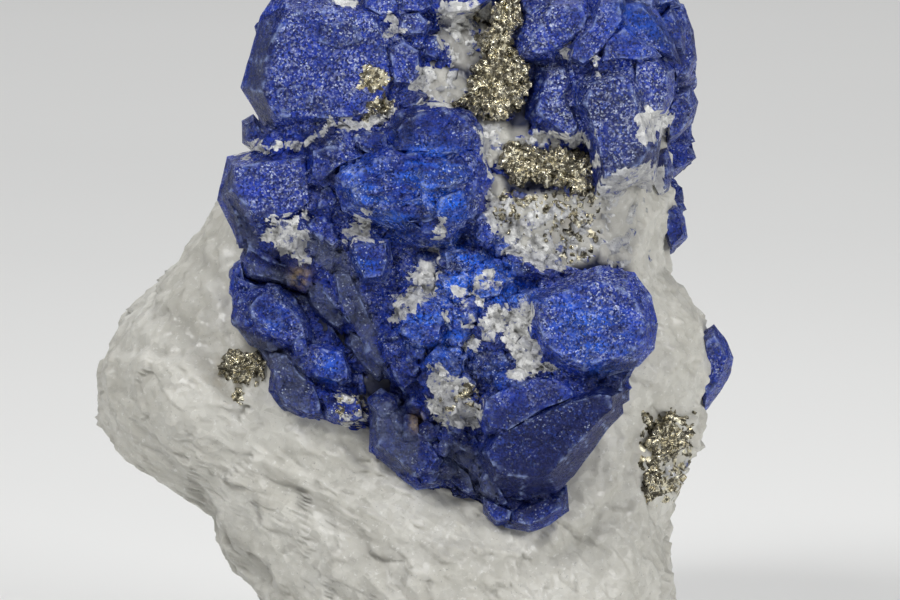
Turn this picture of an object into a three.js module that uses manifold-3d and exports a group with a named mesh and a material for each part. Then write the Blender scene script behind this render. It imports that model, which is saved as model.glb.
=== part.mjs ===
// A lazurite specimen: deep blue crystals and brassy pyrite grown on a loose lump of white marble.
// Millimetres, +Z up, the show side faces -Y. The origin is the middle of the flat base.
import * as THREE from 'three';
import { mergeVertices } from 'three/addons/utils/BufferGeometryUtils.js';
import Module from 'manifold-3d';

// Driving sizes
const SPECIMEN_HEIGHT = 105;
const DRAWING_HEIGHT = 750;
const SQUARE = SPECIMEN_HEIGHT / DRAWING_HEIGHT;
const CONTACT_GAP = 0.35;
const SHARPEST_CORNER = 0.35;
const LEAST_BODY = 12;
const SAME_POINT = 1e-4;

// The show side is drawn as an eye sees it that stands in front and a little above.
// Drawing points are [across, down] in squares, and depth is millimetres towards the eye.
const EYE_DISTANCE = 1200;
const EYE_HEIGHT_ANGLE = THREE.MathUtils.degToRad(6);
const DRAWING_MIDDLE = [450, 300];
const MIDDLE_HEIGHT = 52;

// The marble: one row for each level, as [down, left, right, front depth, back depth].
const MARBLE_ROWS = [
  [672, 300, 650, 24, 20],
  [650, 286, 660, 26, 22],
  [600, 264, 669, 27, 25],
  [575, 247, 671, 26.5, 25.5],
  [537, 219, 668, 25, 26],
  [505, 199, 668, 23, 26],
  [484, 168, 677, 21.5, 26],
  [458, 130, 688, 20, 26.5],
  [430, 108, 698, 19.5, 27],
  [400, 104, 700, 20, 27.5],
  [370, 103, 704, 21, 28],
  [340, 113, 701, 22, 28],
  [318, 122, 696, 22.5, 28],
  [298, 144, 684, 23, 28],
  [270, 178, 668, 23.5, 28],
  [235, 202, 668, 24, 28],
  [205, 222, 668, 24, 27.5],
  [150, 268, 668, 23.5, 26],
  [90, 282, 668, 22.5, 23.5],
  [30, 296, 660, 20, 20],
  [-5, 320, 640, 15, 16],
  [-25, 380, 590, 9, 10],
];
const MARBLE_COLUMNS = 22;
const SECTION_SQUARENESS = 2.5;
const MARBLE_CREST = 2;

// Swells of the marble's show side, as [across, down, height, reach in squares].
const MARBLE_SWELLS = [
  [545, 225, 2.6, 95],
  [450, 55, 3.4, 80],
  [490, 160, 2, 70],
  [185, 410, 3.2, 75],
  [230, 320, -2.4, 60],
  [640, 330, 2.2, 60],
  [640, 520, 2.5, 80],
  [340, 480, 3, 85],
  [440, 600, 2.6, 90],
  [215, 255, -2, 45],
];

// Flow of the marble's lumps, as [size, three turns per millimetre, phase].
const MARBLE_LUMPS = [
  [0.45, 0.21, 0.09, 0.16, 0.4],
  [0.35, -0.27, 0.19, 0.31, 1.9],
  [0.3, 0.46, 0.33, -0.38, 4.1],
  [0.25, 0.12, -0.61, 0.57, 2.7],
];

// Crystals of the show side. face is the outline of the flat front face and rim that of the widest
// section, or the squares it stands out by. depth is that of the face's middle, tilt its rise to
// the right and upwards, bevel how far the rim lies behind the face, stub how far the sides then
// run straight back and root how far the tip lies behind the face.
const UPPER_LEFT = [
  { face: [[288, 14], [330, 13], [372, 18], [384, 44], [391, 80], [374, 112], [330, 119], [276, 116],
      [264, 92], [266, 62], [276, 34]], rim: [[284, -16], [330, -18], [378, -8], [402, 38], [404, 88],
      [378, 122], [330, 132], [276, 142], [243, 88], [250, 60], [262, 18]], depth: 26, tilt: [-0.02, -0.12],
      bevel: 5.5, stub: 7, root: 20 },
  { face: [[390, 50], [404, 43], [418, 52], [420, 70], [412, 84], [396, 82]], rim: 4, depth: 26,
      tilt: [-0.1, -0.2], bevel: 2.5, root: 11 },
  { face: [[404, 18], [418, 14], [427, 24], [422, 34], [410, 34], [402, 28]], rim: 4, depth: 25.4,
      tilt: [0, -0.2], bevel: 2.5, root: 11 },
  { face: [[364, -10], [392, -6], [398, 10], [382, 16], [368, 8]], rim: 6, depth: 24.6, tilt: [0, -0.3],
      bevel: 3, root: 11 },
  { face: [[402, -12], [430, -10], [434, 6], [420, 12], [404, 10]], rim: 5, depth: 25,
      tilt: [0.1, -0.3], bevel: 3, root: 11 },
  { face: [[438, -14], [474, -16], [484, 2], [470, 12], [448, 14], [436, 4]], rim: 5, depth: 25,
      tilt: [-0.1, -0.3], bevel: 3, stub: 7, root: 18 },
  { face: [[296, -46], [344, -50], [362, -26], [330, -18], [294, -22]], rim: 8, depth: 20,
      tilt: [0, -0.6], bevel: 3.5, stub: 7, root: 18 },
  { face: [[376, -52], [424, -54], [434, -24], [402, -16], [374, -24]], rim: 8, depth: 21,
      tilt: [0, -0.6], bevel: 3.5, stub: 7, root: 18 },
];
const LEFT_EDGE = [
  { face: [[246, 125], [254, 121], [262, 132], [266, 143], [256, 148], [248, 140]], rim: 5, depth: 9,
      tilt: [0.2, -0.2], bevel: 3, stub: 4, root: 9 },
];
const UPPER_RIGHT = [
  // the blue ground between the upper right crystals
  { face: [[520, 2], [600, -14], [650, 4], [662, 60], [660, 120], [652, 180], [612, 184], [580, 136],
      [522, 124], [530, 60]], rim: 3, depth: 23, tilt: [-0.2, -0.12], bevel: 3, root: 14 },
  { face: [[552, 9], [580, 8], [586, 18], [580, 30], [560, 46], [540, 55], [527, 52], [536, 36],
      [544, 20]], rim: [[540, -2], [584, -4], [598, 14], [590, 34], [566, 54], [540, 64], [512, 58],
      [508, 36], [524, 14]], depth: 27.5, tilt: [-0.12, -0.3], bevel: 3.5, root: 11 },
  { face: [[574, 44], [592, 28], [600, 4], [618, 4], [622, 20], [612, 34], [598, 52], [584, 64],
      [572, 58]], rim: 6, depth: 28, tilt: [-0.2, -0.2], bevel: 3, root: 11 },
  { face: [[592, 84], [612, 78], [628, 78], [634, 96], [641, 120], [647, 150], [640, 166], [622, 176],
      [605, 176], [600, 150], [594, 126], [586, 104]], rim: [[570, 84], [606, 60], [634, 64], [646, 92],
      [652, 120], [656, 150], [652, 170], [626, 188], [596, 196], [590, 150], [580, 128], [568, 106]],
      depth: 30, tilt: [-0.15, -0.04], bevel: 4.5, stub: 7, root: 22 },
  { face: [[547, 72], [564, 70], [569, 82], [562, 96], [571, 112], [577, 128], [568, 136], [554, 126],
      [537, 112], [541, 98], [545, 84]], rim: [[530, 60], [566, 58], [578, 80], [572, 96], [580, 112],
      [584, 132], [570, 146], [546, 138], [512, 128], [520, 100], [530, 76]], depth: 28,
      tilt: [-0.1, -0.22], bevel: 4.5, root: 11 },
  { face: [[636, 62], [655, 62], [667, 74], [666, 94], [662, 108], [648, 114], [642, 98], [635, 80]],
      rim: 7, depth: 26, tilt: [-0.5, -0.1], bevel: 4, stub: 7, root: 18 },
  { face: [[618, 6], [640, 6], [652, 20], [666, 42], [674, 58], [660, 52], [640, 40], [626, 28]],
      rim: 8, depth: 24, tilt: [-0.5, -0.4], bevel: 4, stub: 7, root: 18 },
  { face: [[606, 42], [624, 30], [642, 46], [654, 56], [638, 60], [618, 58], [602, 62]], rim: 6,
      depth: 27.4, tilt: [-0.25, -0.2], bevel: 2.5, root: 11 },
  { face: [[658, 24], [670, 12], [679, 32], [681, 50], [670, 46]], rim: 5, depth: 16,
      tilt: [-0.6, -0.1], bevel: 3, stub: 7, root: 18 },
  { face: [[668, 8], [682, 12], [688, 36], [692, 56], [687, 74], [676, 78], [668, 46]], rim: 5,
      depth: 9, tilt: [-0.7, 0.1], bevel: 4, stub: 7, root: 18 },
  { face: [[676, 96], [688, 92], [692, 106], [687, 120], [678, 132], [670, 138], [668, 116]], rim: 5,
      depth: 8, tilt: [-0.6, 0.1], bevel: 4, stub: 7, root: 18 },
  { face: [[654, 158], [665, 153], [668, 172], [666, 186], [658, 194], [652, 180]], rim: 4, depth: 13,
      tilt: [-0.5, 0], bevel: 3, stub: 7, root: 18 },
  { face: [[524, -8], [544, -10], [548, 4], [532, 16], [522, 10]], rim: 6, depth: 25.5,
      tilt: [0.2, -0.1], bevel: 3, root: 11 },
  { face: [[566, -46], [608, -50], [634, -30], [620, -10], [574, -10]], rim: 9, depth: 21,
      tilt: [0, -0.6], bevel: 3.5, stub: 7, root: 18 },
  { face: [[634, -30], [656, -22], [672, 2], [652, 6], [634, -6]], rim: 8, depth: 15,
      tilt: [-0.5, -0.5], bevel: 3.5, stub: 7, root: 18 },
  { face: [[476, -50], [534, -54], [554, -30], [536, -18], [492, -16]], rim: 8, depth: 20.5,
      tilt: [0, -0.6], bevel: 3.5, stub: 7, root: 18 },
];
const CENTRAL = [
  // the blue mass that the central crystals stand on
  { face: [[240, 172], [310, 156], [394, 122], [468, 124], [482, 186], [500, 246], [598, 276],
      [644, 306], [642, 350], [610, 408], [556, 478], [512, 500], [456, 462], [390, 372], [316, 284],
      [250, 250], [228, 200]], rim: 2, depth: 26.4, tilt: [0.04, 0], bevel: 3, root: 7 },
  // the left block and its lower lip
  { face: [[236, 168], [262, 163], [304, 159], [308, 182], [309, 203], [290, 213], [262, 219],
      [248, 206], [232, 190]], rim: [[228, 158], [262, 150], [312, 146], [318, 182], [318, 212], [296, 236],
      [256, 252], [240, 244], [219, 200]], depth: 28, tilt: [0.05, -0.14], bevel: 7.5, root: 22 },
  { face: [[254, 232], [264, 250], [288, 263], [296, 276], [284, 282], [252, 274], [246, 258]], rim: 5,
      depth: 24.5, tilt: [0.1, 0.3], bevel: 3, root: 7 },
  // small blocks between the left block and the main crystal
  { face: [[313, 151], [330, 148], [345, 149], [360, 157], [346, 162], [333, 170], [323, 180],
      [313, 177]], rim: [[306, 146], [326, 132], [345, 122], [374, 152], [352, 168], [338, 178], [326, 190],
      [308, 186]], depth: 29.5, tilt: [0, -0.3], bevel: 3.5, root: 19 },
  { face: [[356, 139], [368, 134], [386, 137], [388, 150], [374, 156], [362, 150]], rim: 5, depth: 28.6,
      tilt: [0.2, -0.3], bevel: 3, root: 7 },
  { face: [[306, 236], [322, 242], [342, 254], [348, 268], [356, 288], [342, 282], [320, 264],
      [305, 250]], rim: 6, depth: 25.8, tilt: [0.25, 0.45], bevel: 3, root: 7 },
  { face: [[354, 243], [386, 243], [387, 262], [382, 277], [364, 279], [358, 262]], rim: 5, depth: 30.5,
      tilt: [0.1, -0.1], bevel: 3.5, root: 7 },
  // slabs along the upper side of the open crack
  { face: [[308, 286], [318, 284], [331, 303], [345, 322], [338, 328], [323, 317], [312, 302]], rim: 5,
      depth: 25, tilt: [0.2, 0.35], bevel: 3, root: 7 },
  { face: [[335, 274], [350, 274], [361, 303], [376, 331], [366, 340], [352, 328], [340, 300]], rim: 6,
      depth: 26.5, tilt: [0.15, 0.3], bevel: 3, root: 7 },
  { face: [[352, 334], [370, 342], [381, 368], [377, 377], [363, 364], [350, 346]], rim: 6, depth: 25,
      tilt: [0.2, 0.4], bevel: 3, root: 7 },
  // the main crystal: its roof and its broken front
  { face: [[397, 131], [405, 120], [422, 114], [442, 111], [463, 118], [472, 131], [473, 149],
      [440, 153], [399, 151]], rim: [[388, 128], [398, 114], [420, 106], [444, 104], [470, 112], [481, 128],
      [484, 152], [440, 160], [390, 156]], depth: 31, tilt: [0, -0.35], bevel: 3.5, root: 22 },
  { face: [[348, 182], [363, 167], [392, 155], [440, 153], [469, 151], [479, 167], [475, 190],
      [465, 213], [447, 234], [425, 234], [393, 212], [358, 205]], rim: [[336, 184], [356, 158], [392, 144],
      [440, 144], [480, 146], [493, 178], [482, 196], [476, 218], [452, 246], [418, 246], [386, 224],
      [344, 210]], depth: 32.6, tilt: [0, 0.08], bevel: 4.5, root: 24 },
  // broken crystals in the middle
  { face: [[477, 219], [484, 214], [491, 218], [497, 228], [495, 239], [486, 245], [477, 238]], rim: 4,
      depth: 30, tilt: [-0.1, -0.2], bevel: 2.5, root: 7 },
  { face: [[503, 250], [516, 248], [530, 255], [545, 260], [555, 259], [556, 269], [550, 277],
      [535, 273], [520, 267], [507, 260]], rim: 5, depth: 29.4, tilt: [-0.05, -0.1], bevel: 3, root: 7 },
  { face: [[444, 251], [467, 249], [478, 260], [469, 271], [447, 269]], rim: 5, depth: 29.6,
      tilt: [0, 0.2], bevel: 2.5, root: 7 },
  { face: [[442, 277], [461, 275], [470, 286], [461, 299], [445, 295]], rim: 5, depth: 30.4,
      tilt: [0.1, -0.25], bevel: 2.5, root: 7 },
  { face: [[476, 271], [497, 267], [506, 280], [499, 295], [481, 297], [472, 286]], rim: 5, depth: 30.4,
      tilt: [-0.1, -0.2], bevel: 2.5, root: 7 },
  { face: [[405, 309], [427, 302], [442, 318], [438, 339], [420, 345], [404, 333]], rim: 6, depth: 31,
      tilt: [0.1, -0.15], bevel: 3, root: 7 },
  { face: [[450, 305], [467, 303], [476, 316], [469, 331], [453, 329], [446, 318]], rim: 5, depth: 30.2,
      tilt: [0, -0.1], bevel: 2.5, root: 7 },
  { face: [[479, 351], [492, 346], [502, 356], [509, 366], [504, 375], [490, 380], [476, 373],
      [476, 361]], rim: 5, depth: 31, tilt: [0, -0.12], bevel: 3, root: 7 },
  { face: [[384, 338], [399, 336], [411, 351], [418, 366], [413, 382], [404, 390], [393, 371],
      [384, 356]], rim: 6, depth: 28.6, tilt: [0.1, 0.2], bevel: 3, root: 7 },
  // the big right crystal and the dark block under it
  { face: [[539, 303], [560, 292], [598, 281], [621, 289], [637, 303], [645, 322], [642, 342],
      [631, 353], [604, 360], [584, 365], [562, 357], [546, 343], [539, 324]], rim: [[528, 296], [556, 282],
      [600, 267], [634, 273], [650, 296], [656, 325], [653, 348], [638, 366], [606, 376], [582, 384],
      [556, 372], [538, 354], [526, 326]], depth: 34, tilt: [-0.12, -0.12], bevel: 4.5, root: 25 },
  { face: [[588, 380], [608, 374], [622, 378], [622, 396], [610, 404], [597, 399]], rim: 7, depth: 28,
      tilt: [-0.3, 0.4], bevel: 3.5, root: 16 },
  // the big lower crystal: upper face, lower face and the foot under it
  { face: [[486, 399], [509, 388], [534, 379], [555, 378], [570, 388], [574, 397], [540, 411],
      [508, 430], [491, 428], [484, 414]], rim: 7, depth: 33.4, tilt: [-0.05, -0.28], bevel: 3.5, root: 22 },
  { face: [[500, 436], [530, 420], [570, 403], [599, 395], [612, 397], [611, 410], [599, 420],
      [583, 439], [565, 457], [549, 474], [524, 477], [497, 475], [487, 453]], rim: [[488, 430], [530, 410],
      [568, 392], [604, 386], [622, 392], [622, 414], [606, 430], [590, 452], [574, 474], [556, 492],
      [522, 500], [490, 488], [478, 452]], depth: 34, tilt: [0, 0.2], bevel: 6.5, root: 25 },
  { face: [[515, 513], [545, 501], [559, 499], [561, 508], [546, 517], [530, 525], [517, 523]],
      rim: [[498, 506], [545, 484], [566, 486], [568, 512], [550, 524], [530, 532], [506, 528]],
      depth: 27.5, tilt: [0, -0.2], bevel: 3, root: 15 },
];
const LOWER_LEFT = [
  // the blue ground of the open crack and of the crystals below it
  { face: [[236, 276], [262, 288], [304, 296], [334, 330], [362, 374], [366, 404], [358, 418],
      [326, 418], [292, 402], [274, 372], [252, 338], [238, 318]], rim: 2, depth: 22.6, tilt: [0.02, 0],
      bevel: 2, root: 12 },
  { face: [[250, 305], [259, 294], [273, 293], [289, 307], [300, 321], [304, 335], [294, 340],
      [280, 334], [265, 325], [252, 315]], rim: [[233, 300], [250, 286], [278, 284], [297, 298], [310, 317],
      [314, 344], [296, 352], [276, 352], [250, 344], [234, 322]], depth: 27.5, tilt: [0.02, -0.22],
      bevel: 5.5, stub: 4, root: 20 },
  { face: [[235, 268], [241, 264], [245, 282], [243, 298], [237, 302], [233, 290]], rim: 3, depth: 22,
      tilt: [0.4, 0], bevel: 3, root: 14 },
  { face: [[296, 348], [314, 347], [340, 353], [347, 368], [347, 379], [338, 382], [317, 375],
      [303, 366]], rim: 4, depth: 27.6, tilt: [0, -0.2], bevel: 4, root: 16 },
  { face: [[272, 358], [286, 356], [300, 375], [313, 386], [319, 399], [320, 414], [306, 414],
      [286, 404], [275, 391]], rim: 5, depth: 26, tilt: [0.1, 0.25], bevel: 4.5, root: 15 },
  { face: [[319, 392], [347, 395], [360, 401], [362, 418], [345, 422], [329, 416]], rim: 4, depth: 25.6,
      tilt: [0, 0.15], bevel: 4, root: 14 },
];
const LOWER_MIDDLE = [
  { face: [[377, 407], [387, 411], [401, 427], [423, 437], [431, 444], [438, 458], [431, 469],
      [414, 471], [403, 463], [379, 445]], rim: [[370, 398], [389, 403], [405, 419], [429, 431], [439, 442],
      [449, 466], [441, 486], [416, 490], [396, 472], [370, 452]], depth: 27.5, tilt: [0.05, -0.1],
      bevel: 4.5, root: 16 },
  { face: [[411, 463], [431, 463], [440, 474], [435, 483], [420, 485], [409, 478]], rim: 4, depth: 26.2,
      tilt: [0, 0.2], bevel: 3, root: 12 },
  { face: [[450, 460], [470, 475], [475, 493], [464, 492], [451, 481]], rim: 4, depth: 24.6,
      tilt: [0.2, 0.3], bevel: 3, root: 12 },
];
const RIGHT_EDGE = [
  { face: [[706, 342], [714, 336], [721, 348], [726, 358], [723, 372], [716, 386], [707, 398],
      [704, 370]], rim: [[700, 334], [714, 325], [726, 342], [732, 358], [729, 372], [720, 392], [704, 412],
      [697, 370]], depth: 3, tilt: [-0.3, 0.1], bevel: 3.5, stub: 7, root: 12 },
];
const RIGHT_SMALL = [
  { face: [[668, 210], [675, 209], [680, 222], [683, 234], [678, 241], [672, 246], [667, 232]], rim: 4,
      depth: 6, tilt: [-0.3, 0.1], bevel: 3, stub: 5, root: 14 },
];

// How much narrower a crystal of the show side is where its straight sides end, in squares.
const STUB_TAPER = 3;

// Crystals that face any way, relative to their size: the width of the face and of the foot, the
// height of the face, how flat they are, and how uneven their corners are in turn and in reach.
const TURNED_FACE = 0.62;
const TURNED_FOOT = 0.9;
const TURNED_HEIGHT = 0.42;
const TURNED_FLATNESS = 0.86;
const TURNED_UNEVENNESS = 0.18;
const TURNED_DENT = 0.14;

// Domes: how far their top and their back are narrower than the rim, in squares.
const DOME_TOP_INSET = 6;
const DOME_BACK_INSET = 4;

// Crystals away from the show side: place in millimetres, turn round the specimen and lean up in
// degrees (0 looks at the front, 90 to the right), size of the face and how many corners it has.
const BACK_UPPER = [
  { at: [-10, 20, 86], turn: 194, lean: 20, size: 14, corners: 6, root: 11 },
  { at: [8, 21, 84], turn: 171, lean: 14, size: 14, corners: 5, root: 11 },
  { at: [-2, 25, 69], turn: 182, lean: -4, size: 13.5, corners: 6, root: 11 },
  { at: [-18, 19.5, 72], turn: 213, lean: 4, size: 12, corners: 5, root: 11 },
  { at: [15, 22.5, 69], turn: 156, lean: 0, size: 12.5, corners: 6, root: 11 },
  { at: [22, 16, 82], turn: 130, lean: 12, size: 12, corners: 6, root: 11 },
];
const TOP_CROWN = [
  { at: [-14, -5, 96], turn: 300, lean: 62, size: 11, corners: 6, root: 9 },
  { at: [-1, -4, 98.5], turn: 10, lean: 76, size: 10.5, corners: 5, root: 9 },
  { at: [13, -3, 98], turn: 40, lean: 68, size: 10.5, corners: 6, root: 9 },
  { at: [-9, 11, 94.5], turn: 205, lean: 52, size: 12, corners: 6, root: 9 },
  { at: [8, 12, 94.5], turn: 168, lean: 50, size: 12, corners: 5, root: 9 },
  { at: [22, 3, 94], turn: 95, lean: 45, size: 9.5, corners: 6, root: 9 },
  { at: [-21, 4, 91], turn: 255, lean: 38, size: 9.5, corners: 6, root: 9 },
];
const RIGHT_SIDE = [
  { at: [29, 5, 86], turn: 96, lean: 12, size: 11, corners: 6, root: 10 },
  { at: [28.5, 9, 73.5], turn: 104, lean: 2, size: 11, corners: 5, root: 10 },
  { at: [28.5, 3, 64], turn: 92, lean: -6, size: 9, corners: 6, root: 10 },
];
const BACK_LOW = [
  { at: [-21, 26, 44], turn: 198, lean: 4, size: 9, corners: 6, root: 10 },
  { at: [-12, 27.5, 39], turn: 186, lean: -8, size: 7.5, corners: 5, root: 10 },
];
const BACK_RIGHT = [
  { at: [25, 21.5, 36], turn: 146, lean: 2, size: 8, corners: 6, root: 11 },
];

// Pyrite and calcite masses of the show side: outline, depth of the rim, dome height and thickness.
const PYRITE_UPPER = [
  { outline: [[492, 10], [504, 0], [517, -4], [521, 10], [520, 22], [511, 30], [508, 44], [512, 56],
      [490, 60], [482, 50], [481, 38], [490, 28]], depth: 26.2, tilt: [0, -0.1], dome: 0.8, thick: 6 },
  { outline: [[478, 64], [492, 52], [512, 52], [526, 68], [528, 82], [523, 98], [517, 112], [507, 122],
      [488, 122], [474, 114], [450, 104], [468, 94], [465, 78]], depth: 26.8, tilt: [-0.05, -0.05], dome: 1,
      thick: 6 },
];
const PYRITE_MIDDLE = [
  { outline: [[500, 148], [514, 141], [530, 150], [558, 148], [582, 154], [593, 162], [594, 180],
      [589, 196], [574, 190], [556, 184], [538, 180], [520, 188], [508, 184], [501, 168]], depth: 26.6,
      tilt: [-0.05, 0], dome: 0.9, thick: 6 },
];
const PYRITE_LEFT = [
  { outline: [[221, 358], [240, 350], [256, 352], [266, 362], [266, 372], [256, 384], [246, 392],
      [236, 391], [228, 380], [219, 370]], depth: 20.2, tilt: [0.2, 0.1], dome: 0.8, thick: 6 },
];
const PYRITE_RIGHT = [
  { outline: [[656, 420], [670, 413], [690, 420], [692, 434], [684, 444], [672, 452], [663, 463],
      [661, 480], [656, 500], [647, 502], [643, 490], [648, 470], [651, 456], [650, 440]], depth: 13,
      tilt: [-0.75, 0], dome: 0.8, thick: 7 },
];
const PYRITE_LOWER = [
  { outline: [[447, 394], [460, 388], [474, 391], [474, 402], [461, 405], [450, 402]], depth: 30,
      tilt: [0, 0.1], dome: 0.6, thick: 2.4 },
];
const CALCITE_SEAM = [
  { outline: [[248, 156], [250, 138], [300, 128], [330, 112], [360, 112], [394, 112], [400, 126],
      [380, 142], [330, 146], [290, 158]], depth: 24.4, tilt: [0.03, 0], dome: 1, thick: 9 },
];
const CALCITE_LEFT = [
  { outline: [[258, 226], [290, 212], [312, 208], [316, 224], [300, 240], [318, 262], [322, 276],
      [298, 288], [286, 266], [262, 246]], depth: 26.2, tilt: [0.03, 0.05], dome: 0.8, thick: 5 },
];
const CALCITE_CENTRE = [
  { outline: [[462, 350], [466, 340], [482, 328], [478, 310], [490, 302], [506, 306], [522, 300],
      [532, 310], [534, 330], [546, 352], [555, 376], [536, 378], [514, 378], [506, 358], [488, 344],
      [476, 358]], depth: 30, tilt: [0, 0.05], dome: 0.8, thick: 6 },
];
const CALCITE_LOWER = [
  { outline: [[420, 358], [434, 348], [448, 354], [456, 368], [468, 382], [482, 398], [480, 424],
      [458, 432], [438, 428], [424, 408], [422, 388], [430, 374]], depth: 29, tilt: [0.03, 0.1], dome: 1,
      thick: 6 },
];

// Ledges and swells of the marble that have an edge of their own, written as the crystals are.
const MARBLE_LEDGES = [
  { face: [[128, 366], [158, 360], [186, 361], [204, 382], [226, 408], [214, 440], [176, 450],
      [140, 436], [120, 408]], rim: 11, depth: 17.8, tilt: [0.3, 0.12], bevel: 4, root: 16 },
  { face: [[232, 548], [246, 546], [256, 560], [250, 574], [236, 568]], rim: 6, depth: 14,
      tilt: [0.4, 0], bevel: 3, root: 12 },
  { face: [[690, 322], [700, 322], [704, 330], [696, 338], [688, 334]], rim: 4, depth: 8,
      tilt: [-0.3, 0], bevel: 3, root: 12 },
];

const wasm = await Module();
wasm.setup();

// A drawing point at a depth, as a point of the specimen.
function place([across, down], depth) {
  const nearness = 1 - depth / EYE_DISTANCE;
  const side = (across - DRAWING_MIDDLE[0]) * SQUARE * nearness;
  const rise = (DRAWING_MIDDLE[1] - down) * SQUARE * nearness;
  const height = (rise + depth * Math.sin(EYE_HEIGHT_ANGLE)) / Math.cos(EYE_HEIGHT_ANGLE);
  return new THREE.Vector3(side, -depth, MIDDLE_HEIGHT + height);
}

// The mean of an outline's points.
function middleOf(outline) {
  return [0, 1].map((k) => outline.reduce((sum, p) => sum + p[k], 0) / outline.length);
}

// An outline as a ring of points on a tilted plane.
function ringOn(outline, depth, [toRight, upwards], middle) {
  return outline.map(([across, down]) => {
    const lean = toRight * (across - middle[0]) + upwards * (middle[1] - down);
    return place([across, down], depth + lean * SQUARE);
  });
}

// An outline whose corners move away from its middle by a number of squares.
function grown(outline, by) {
  const middle = middleOf(outline);
  return outline.map(([across, down]) => {
    const reach = Math.hypot(across - middle[0], down - middle[1]);
    return [across + ((across - middle[0]) * by) / reach, down + ((down - middle[1]) * by) / reach];
  });
}

// A closed skin from a front point over rings of equal count to a back point, as indexed geometry.
function skin(front, rings, back) {
  const count = rings[0].length;
  const points = [front, ...rings.flat(), back];
  const last = points.length - 1;
  const triangles = [];
  for (let i = 0; i < count; i++) {
    const next = (i + 1) % count;
    triangles.push([0, 1 + i, 1 + next]);
    for (let r = 0; r + 1 < rings.length; r++) {
      const here = 1 + r * count;
      const there = here + count;
      triangles.push([here + i, there + i, here + next], [here + next, there + i, there + next]);
    }
    triangles.push([last - count + i, last, last - count + next]);
  }
  const geometry = new THREE.BufferGeometry().setFromPoints(points);
  return geometry.setIndex(facingOut(points, triangles).flat());
}

// The triangles, turned round if together they enclose a negative volume.
function facingOut(points, triangles) {
  const sixfold = ([a, b, c]) => points[a].dot(points[b].clone().cross(points[c]));
  const volume = triangles.reduce((sum, triangle) => sum + sixfold(triangle), 0);
  return volume < 0 ? triangles.map(([a, b, c]) => [a, c, b]) : triangles;
}

// A crystal with a flat front face, a bevel down to its rim, sides that run back and a hidden tip.
function tracedCrystal({ face, rim, depth, tilt, bevel, stub, root }) {
  const middle = middleOf(face);
  const widest = Array.isArray(rim) ? rim : grown(face, rim);
  const rimTilt = tilt.map((slope) => slope / 2);
  const rings = [ringOn(face, depth, tilt, middle), ringOn(widest, depth - bevel, rimTilt, middle)];
  if (stub) {
    rings.push(ringOn(grown(widest, -STUB_TAPER), depth - bevel - stub, rimTilt, middle));
  }
  return skin(place(middle, depth), rings, place(middle, depth - root));
}

// A crystal that faces any way: an irregular polygon with a bevel, turned and leant into place.
// Its corners are unevenly spaced and unevenly far out, by sines of their number.
function turnedCrystal({ at, turn, lean, size, corners, root }) {
  const [turned, leant] = [turn, lean].map(THREE.MathUtils.degToRad);
  const outwards = new THREE.Vector3(Math.sin(turned), -Math.cos(turned), 0);
  outwards.multiplyScalar(Math.cos(leant)).setZ(Math.sin(leant));
  const right = new THREE.Vector3(Math.cos(turned), Math.sin(turned), 0);
  const up = outwards.clone().cross(right);
  const point = (side, rise, out) => {
    const moved = new THREE.Vector3(...at).addScaledVector(right, side);
    return moved.addScaledVector(up, rise).addScaledVector(outwards, out);
  };
  const ring = (scale, out) => Array.from({ length: corners }, (_, i) => {
    const turnOfCorner = i + TURNED_UNEVENNESS * Math.sin(3 * i + turn);
    const angle = (turnOfCorner * 2 * Math.PI) / corners + size;
    const uneven = 1 - TURNED_DENT + TURNED_DENT * Math.sin(2.3 * i + turn + lean);
    const reach = size * scale * uneven;
    return point(reach * Math.cos(angle), TURNED_FLATNESS * reach * Math.sin(angle), out);
  });
  const height = size * TURNED_HEIGHT;
  const rings = [ring(TURNED_FACE, height), ring(1, 0), ring(TURNED_FOOT, -root / 2)];
  return skin(point(0, 0, height), rings, point(0, 0, -root));
}

// A low dome with a thinner edge and a flat back, for grains that fill a hollow.
function dome({ outline, depth, tilt, dome: height, thick }) {
  const middle = middleOf(outline);
  const rings = [
    ringOn(grown(outline, -DOME_TOP_INSET), depth + height, tilt, middle),
    ringOn(outline, depth, tilt, middle),
    ringOn(grown(outline, -DOME_BACK_INSET), depth - thick, tilt, middle),
  ];
  return skin(place(middle, depth + height), rings, place(middle, depth - thick));
}

// The lump: stacked sections, each a rounded oblong with its own left, right, front and back.
function marbleLump() {
  const foot = place([DRAWING_MIDDLE[0], MARBLE_ROWS[0][0]], 0).z;
  const rings = MARBLE_ROWS.map(([down, left, right, front, back], level) => {
    const ends = [place([left, down], 0), place([right, down], 0)];
    const middle = (ends[0].x + ends[1].x) / 2;
    const half = (ends[1].x - ends[0].x) / 2;
    return Array.from({ length: MARBLE_COLUMNS }, (_, i) => {
      const angle = (2 * Math.PI * i) / MARBLE_COLUMNS;
      const [cos, sin] = [Math.cos(angle), Math.sin(angle)];
      const power = 2 / SECTION_SQUARENESS;
      const x = middle + half * Math.sign(cos) * Math.abs(cos) ** power;
      const reach = sin > 0 ? back : -front;
      const p = new THREE.Vector3(x, reach * Math.abs(sin) ** power, level ? ends[0].z - foot : 0);
      const outwards = new THREE.Vector3(cos / half, sin / Math.abs(reach), 0).normalize();
      p.y -= sin < 0 ? swellAt(p) : 0;
      return p.addScaledVector(outwards, lumpsAt(p));
    });
  });
  const top = rings.at(-1).reduce((sum, p) => sum.add(p), new THREE.Vector3());
  top.divideScalar(MARBLE_COLUMNS);
  return skin(top.setZ(top.z + MARBLE_CREST), rings.reverse(), new THREE.Vector3(0, 0, 0));
}

// How far the show side stands out at a point because of its swells.
function swellAt(p) {
  return MARBLE_SWELLS.reduce((sum, [across, down, height, reach]) => {
    const centre = place([across, down], -p.y);
    const away = Math.hypot(p.x - centre.x, p.z - centre.z) / (reach * SQUARE);
    return sum + height * Math.exp(-away * away);
  }, 0);
}

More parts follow.
